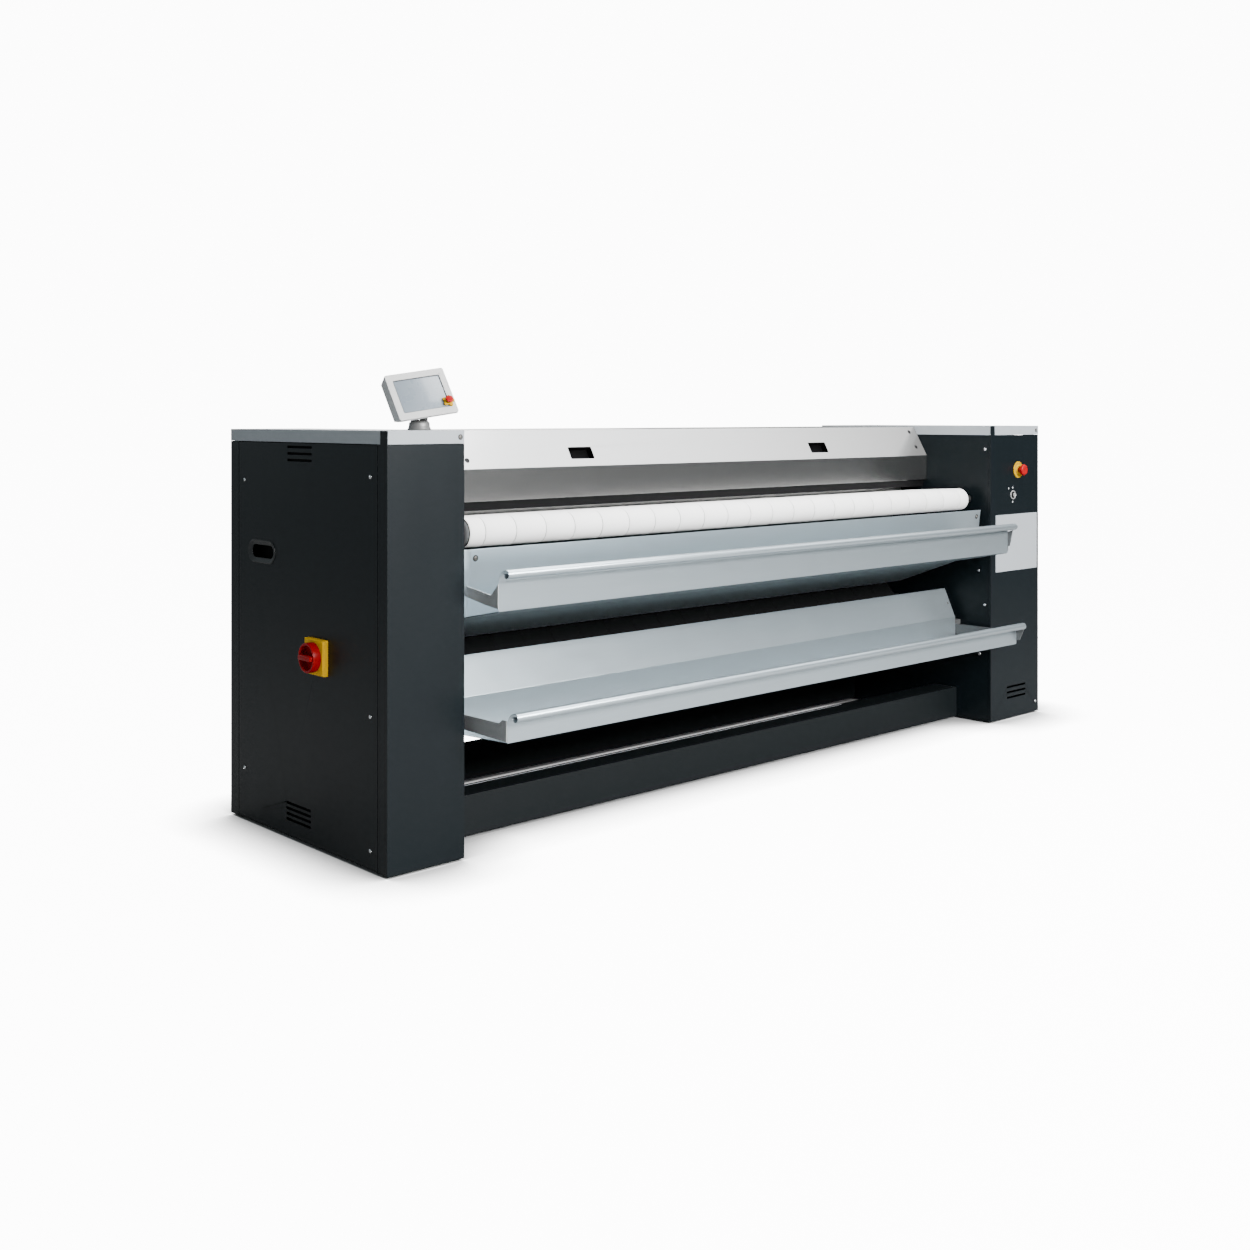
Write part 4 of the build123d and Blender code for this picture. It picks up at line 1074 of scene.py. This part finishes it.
class IRONER_OT_openings(bpy.types.Operator):
    """Make the left grip's oval rim, and dark sheets of painted shade behind the vents"""

    bl_idname = "ironer.openings"
    bl_label = "Grip rim and vent shade"

    def execute(self, context):
        bm = bmesh.new()
        where = facing(spot(*GRIP_PLACE), LEFTWARD, FORWARD)
        rim = [(17, -4), (17.6, -2.4), (24, -0.6), (26.4, 2.2), (29, 2.8), (31, 1.6), (31.4, 0.1)]
        rim += [(25, -1.2), (24.6, -4)]
        turned(bm, rim, where, 64, closed=True, stretch=39.5)
        dark = ink("dark_plastic")
        new_piece("left_grip_rim", bm, "machine", dark)

        bm = bmesh.new()
        # Painted shade: near-black sheets just behind the vent slots stand in for the shade inside
        # the cabinet.
        for x, out in ((6, LEFTWARD), (CASING_WIDTH - 6, RIGHTWARD)):
            for y, z, tall in ((403, 998, 56), (407, 72, 62)):
                boxed(bm, (136, tall, 1), facing(spot(x, y, z), out, FORWARD), 0.2, 1)
        new_piece("vent_painted_shade", bm, "machine", ink("cup_plastic"))
        return {"FINISHED"}


class IRONER_OT_beam_strip(bpy.types.Operator):
    """Lay a thin bright strip along the base beam, a painted highlight for the light line that
    shows there
    """

    bl_idname = "ironer.beam_strip"
    bl_label = "Beam highlight"

    def execute(self, context):
        bm = bmesh.new()
        middle = facing(spot(*STRIP_PLACE), UPWARD, RIGHTWARD)
        # Painted highlight: a light strip in cap paint stands in for the bright line along the
        # beam.
        boxed(bm, (1742, 1.4, 1.4), middle, 0.4)
        new_piece("beam_painted_highlight", bm, "machine", ink("cap_paint"))
        return {"FINISHED"}


# ------------------------------------------------------------------ studio


def stage_material(name, colour, rough, glow_strength):
    """Pale floor that the camera sees as lit, but for the shade close to the machine."""
    finish = Finish(name, Metallic=0.0)
    cloud = finish.noise(0.8, 3)
    finish.colour(finish.blend(cloud, shade(colour, 0.985), shade(colour, 1.015)))
    finish.rough(rough + cloud * 0.05)
    seen = finish.number("ShaderNodeLightPath", {}, {}, "Is Camera Ray")
    corner = {"Distance": CONTACT_SHADOW}
    open_sky = finish.number("ShaderNodeAmbientOcclusion", {"samples": 16}, corner, "AO")
    glow = finish.blend(seen * open_sky ** 5, (0, 0, 0), (1, 1, 1))
    finish.glow(glow, glow_strength)
    return finish.material


def area_light(name, where, target, size, power):
    """Soft box at a place, aimed at a target."""
    data = bpy.data.lights.new(name, "AREA")
    data.shape = "RECTANGLE"
    data.size, data.size_y = size
    data.energy = power
    light = bpy.data.objects.new(name, data)
    bpy.context.scene.collection.objects.link(light)
    light.location = where
    aim = Vector(target) - Vector(where)
    light.rotation_euler = aim.to_track_quat("-Z", "Y").to_euler()


class IRONER_OT_stage(bpy.types.Operator):
    """Set the floor, the soft lights and the photograph's camera"""

    bl_idname = "ironer.stage"
    bl_label = "Studio and camera"

    def execute(self, context):
        scene = context.scene
        bm = bmesh.new()
        bmesh.ops.create_grid(bm, x_segments=1, y_segments=1, size=40)
        mesh = bpy.data.meshes.new("studio_floor")
        bm.to_mesh(mesh)
        bm.free()
        floor = bpy.data.objects.new("studio_floor", mesh)
        scene.collection.objects.link(floor)
        mesh.materials.append(stage_material("pale_floor", (0.3, 0.3, 0.3), 0.75, BACKDROP_GLOW))

        world = bpy.data.worlds.new("studio")
        scene.world = world
        world.use_nodes = True
        sky = Nodes(world.node_tree)
        back = sky.tree.nodes["Background"]
        back.inputs["Strength"].default_value = 1.0
        place = sky.output("ShaderNodeTexCoord", {}, {}, "Generated")
        aim = {0: place, 1: SKY_AIM}
        side = sky.output("ShaderNodeVectorMath", {"operation": "DOT_PRODUCT"}, aim, "Value")
        stops = [(at, (glow * (0.87 + at * 0.09), glow, glow * 1.05, 1)) for at, glow in SKY_STEPS]
        light = sky.output("ShaderNodeValToRGB", {"stops": stops}, {0: side})
        seen = sky.output("ShaderNodeLightPath", {}, {}, "Is Camera Ray")
        seen_as = sky.mixed(seen, light, (*[BACKDROP_GLOW] * 3, 1))
        sky.tree.links.new(seen_as, back.inputs["Color"])

        for name, where, size, power in SOFT_BOXES:
            area_light(name, spot(*where), spot(*STUDIO_MIDDLE), size, power)

        data = bpy.data.cameras.new("photograph")
        data.sensor_width = 36
        data.lens = CAMERA_LENS
        data.shift_y = CAMERA_SHIFT
        data.clip_end = 200
        camera = bpy.data.objects.new("photograph", data)
        scene.collection.objects.link(camera)
        camera.location = spot(*CAMERA_PLACE)
        camera.rotation_euler = (math.radians(90), 0, math.radians(CAMERA_YAW))
        scene.camera = camera
        return {"FINISHED"}


class IRONER_PT_panel(bpy.types.Panel):
    """Lists the pieces in the sidebar"""

    bl_label = "Flatwork ironer"
    bl_idname = "IRONER_PT_panel"
    bl_space_type = "VIEW_3D"
    bl_region_type = "UI"
    bl_category = "Ironer"

    def draw(self, context):
        for group in (context.scene.ironer_colours, context.scene.ironer_sizes):
            box = self.layout.box()
            for key in group.__annotations__:
                box.prop(group, key)
        for operator in OPERATORS:
            self.layout.operator(operator.bl_idname)


OPERATORS = [
    IRONER_OT_stage,
    IRONER_OT_finishes,
    IRONER_OT_feed_bands,
    IRONER_OT_ironing_belts,
    IRONER_OT_isolator,
    IRONER_OT_right_stop,
    IRONER_OT_head_stop,
    IRONER_OT_key_switch,
    IRONER_OT_screws,
    IRONER_OT_feet,
    IRONER_OT_gland,
    IRONER_OT_roller_ends,
    IRONER_OT_head_boot,
    IRONER_OT_display,
    IRONER_OT_tray_ends,
    IRONER_OT_openings,
    IRONER_OT_beam_strip,
]
CLASSES = [IronerColours, IronerSizes, *OPERATORS, IRONER_PT_panel]


def register():
    for item in CLASSES:
        bpy.utils.register_class(item)
    bpy.types.Scene.ironer_colours = bpy.props.PointerProperty(type=IronerColours)
    bpy.types.Scene.ironer_sizes = bpy.props.PointerProperty(type=IronerSizes)


def unregister():
    del bpy.types.Scene.ironer_sizes
    del bpy.types.Scene.ironer_colours
    for item in reversed(CLASSES):
        bpy.utils.unregister_class(item)


def main():
    """Build everything in order."""
    register()
    for operator in OPERATORS:
        group, name = operator.bl_idname.split(".")
        getattr(getattr(bpy.ops, group), name)()


if __name__ == "__main__":
    main()
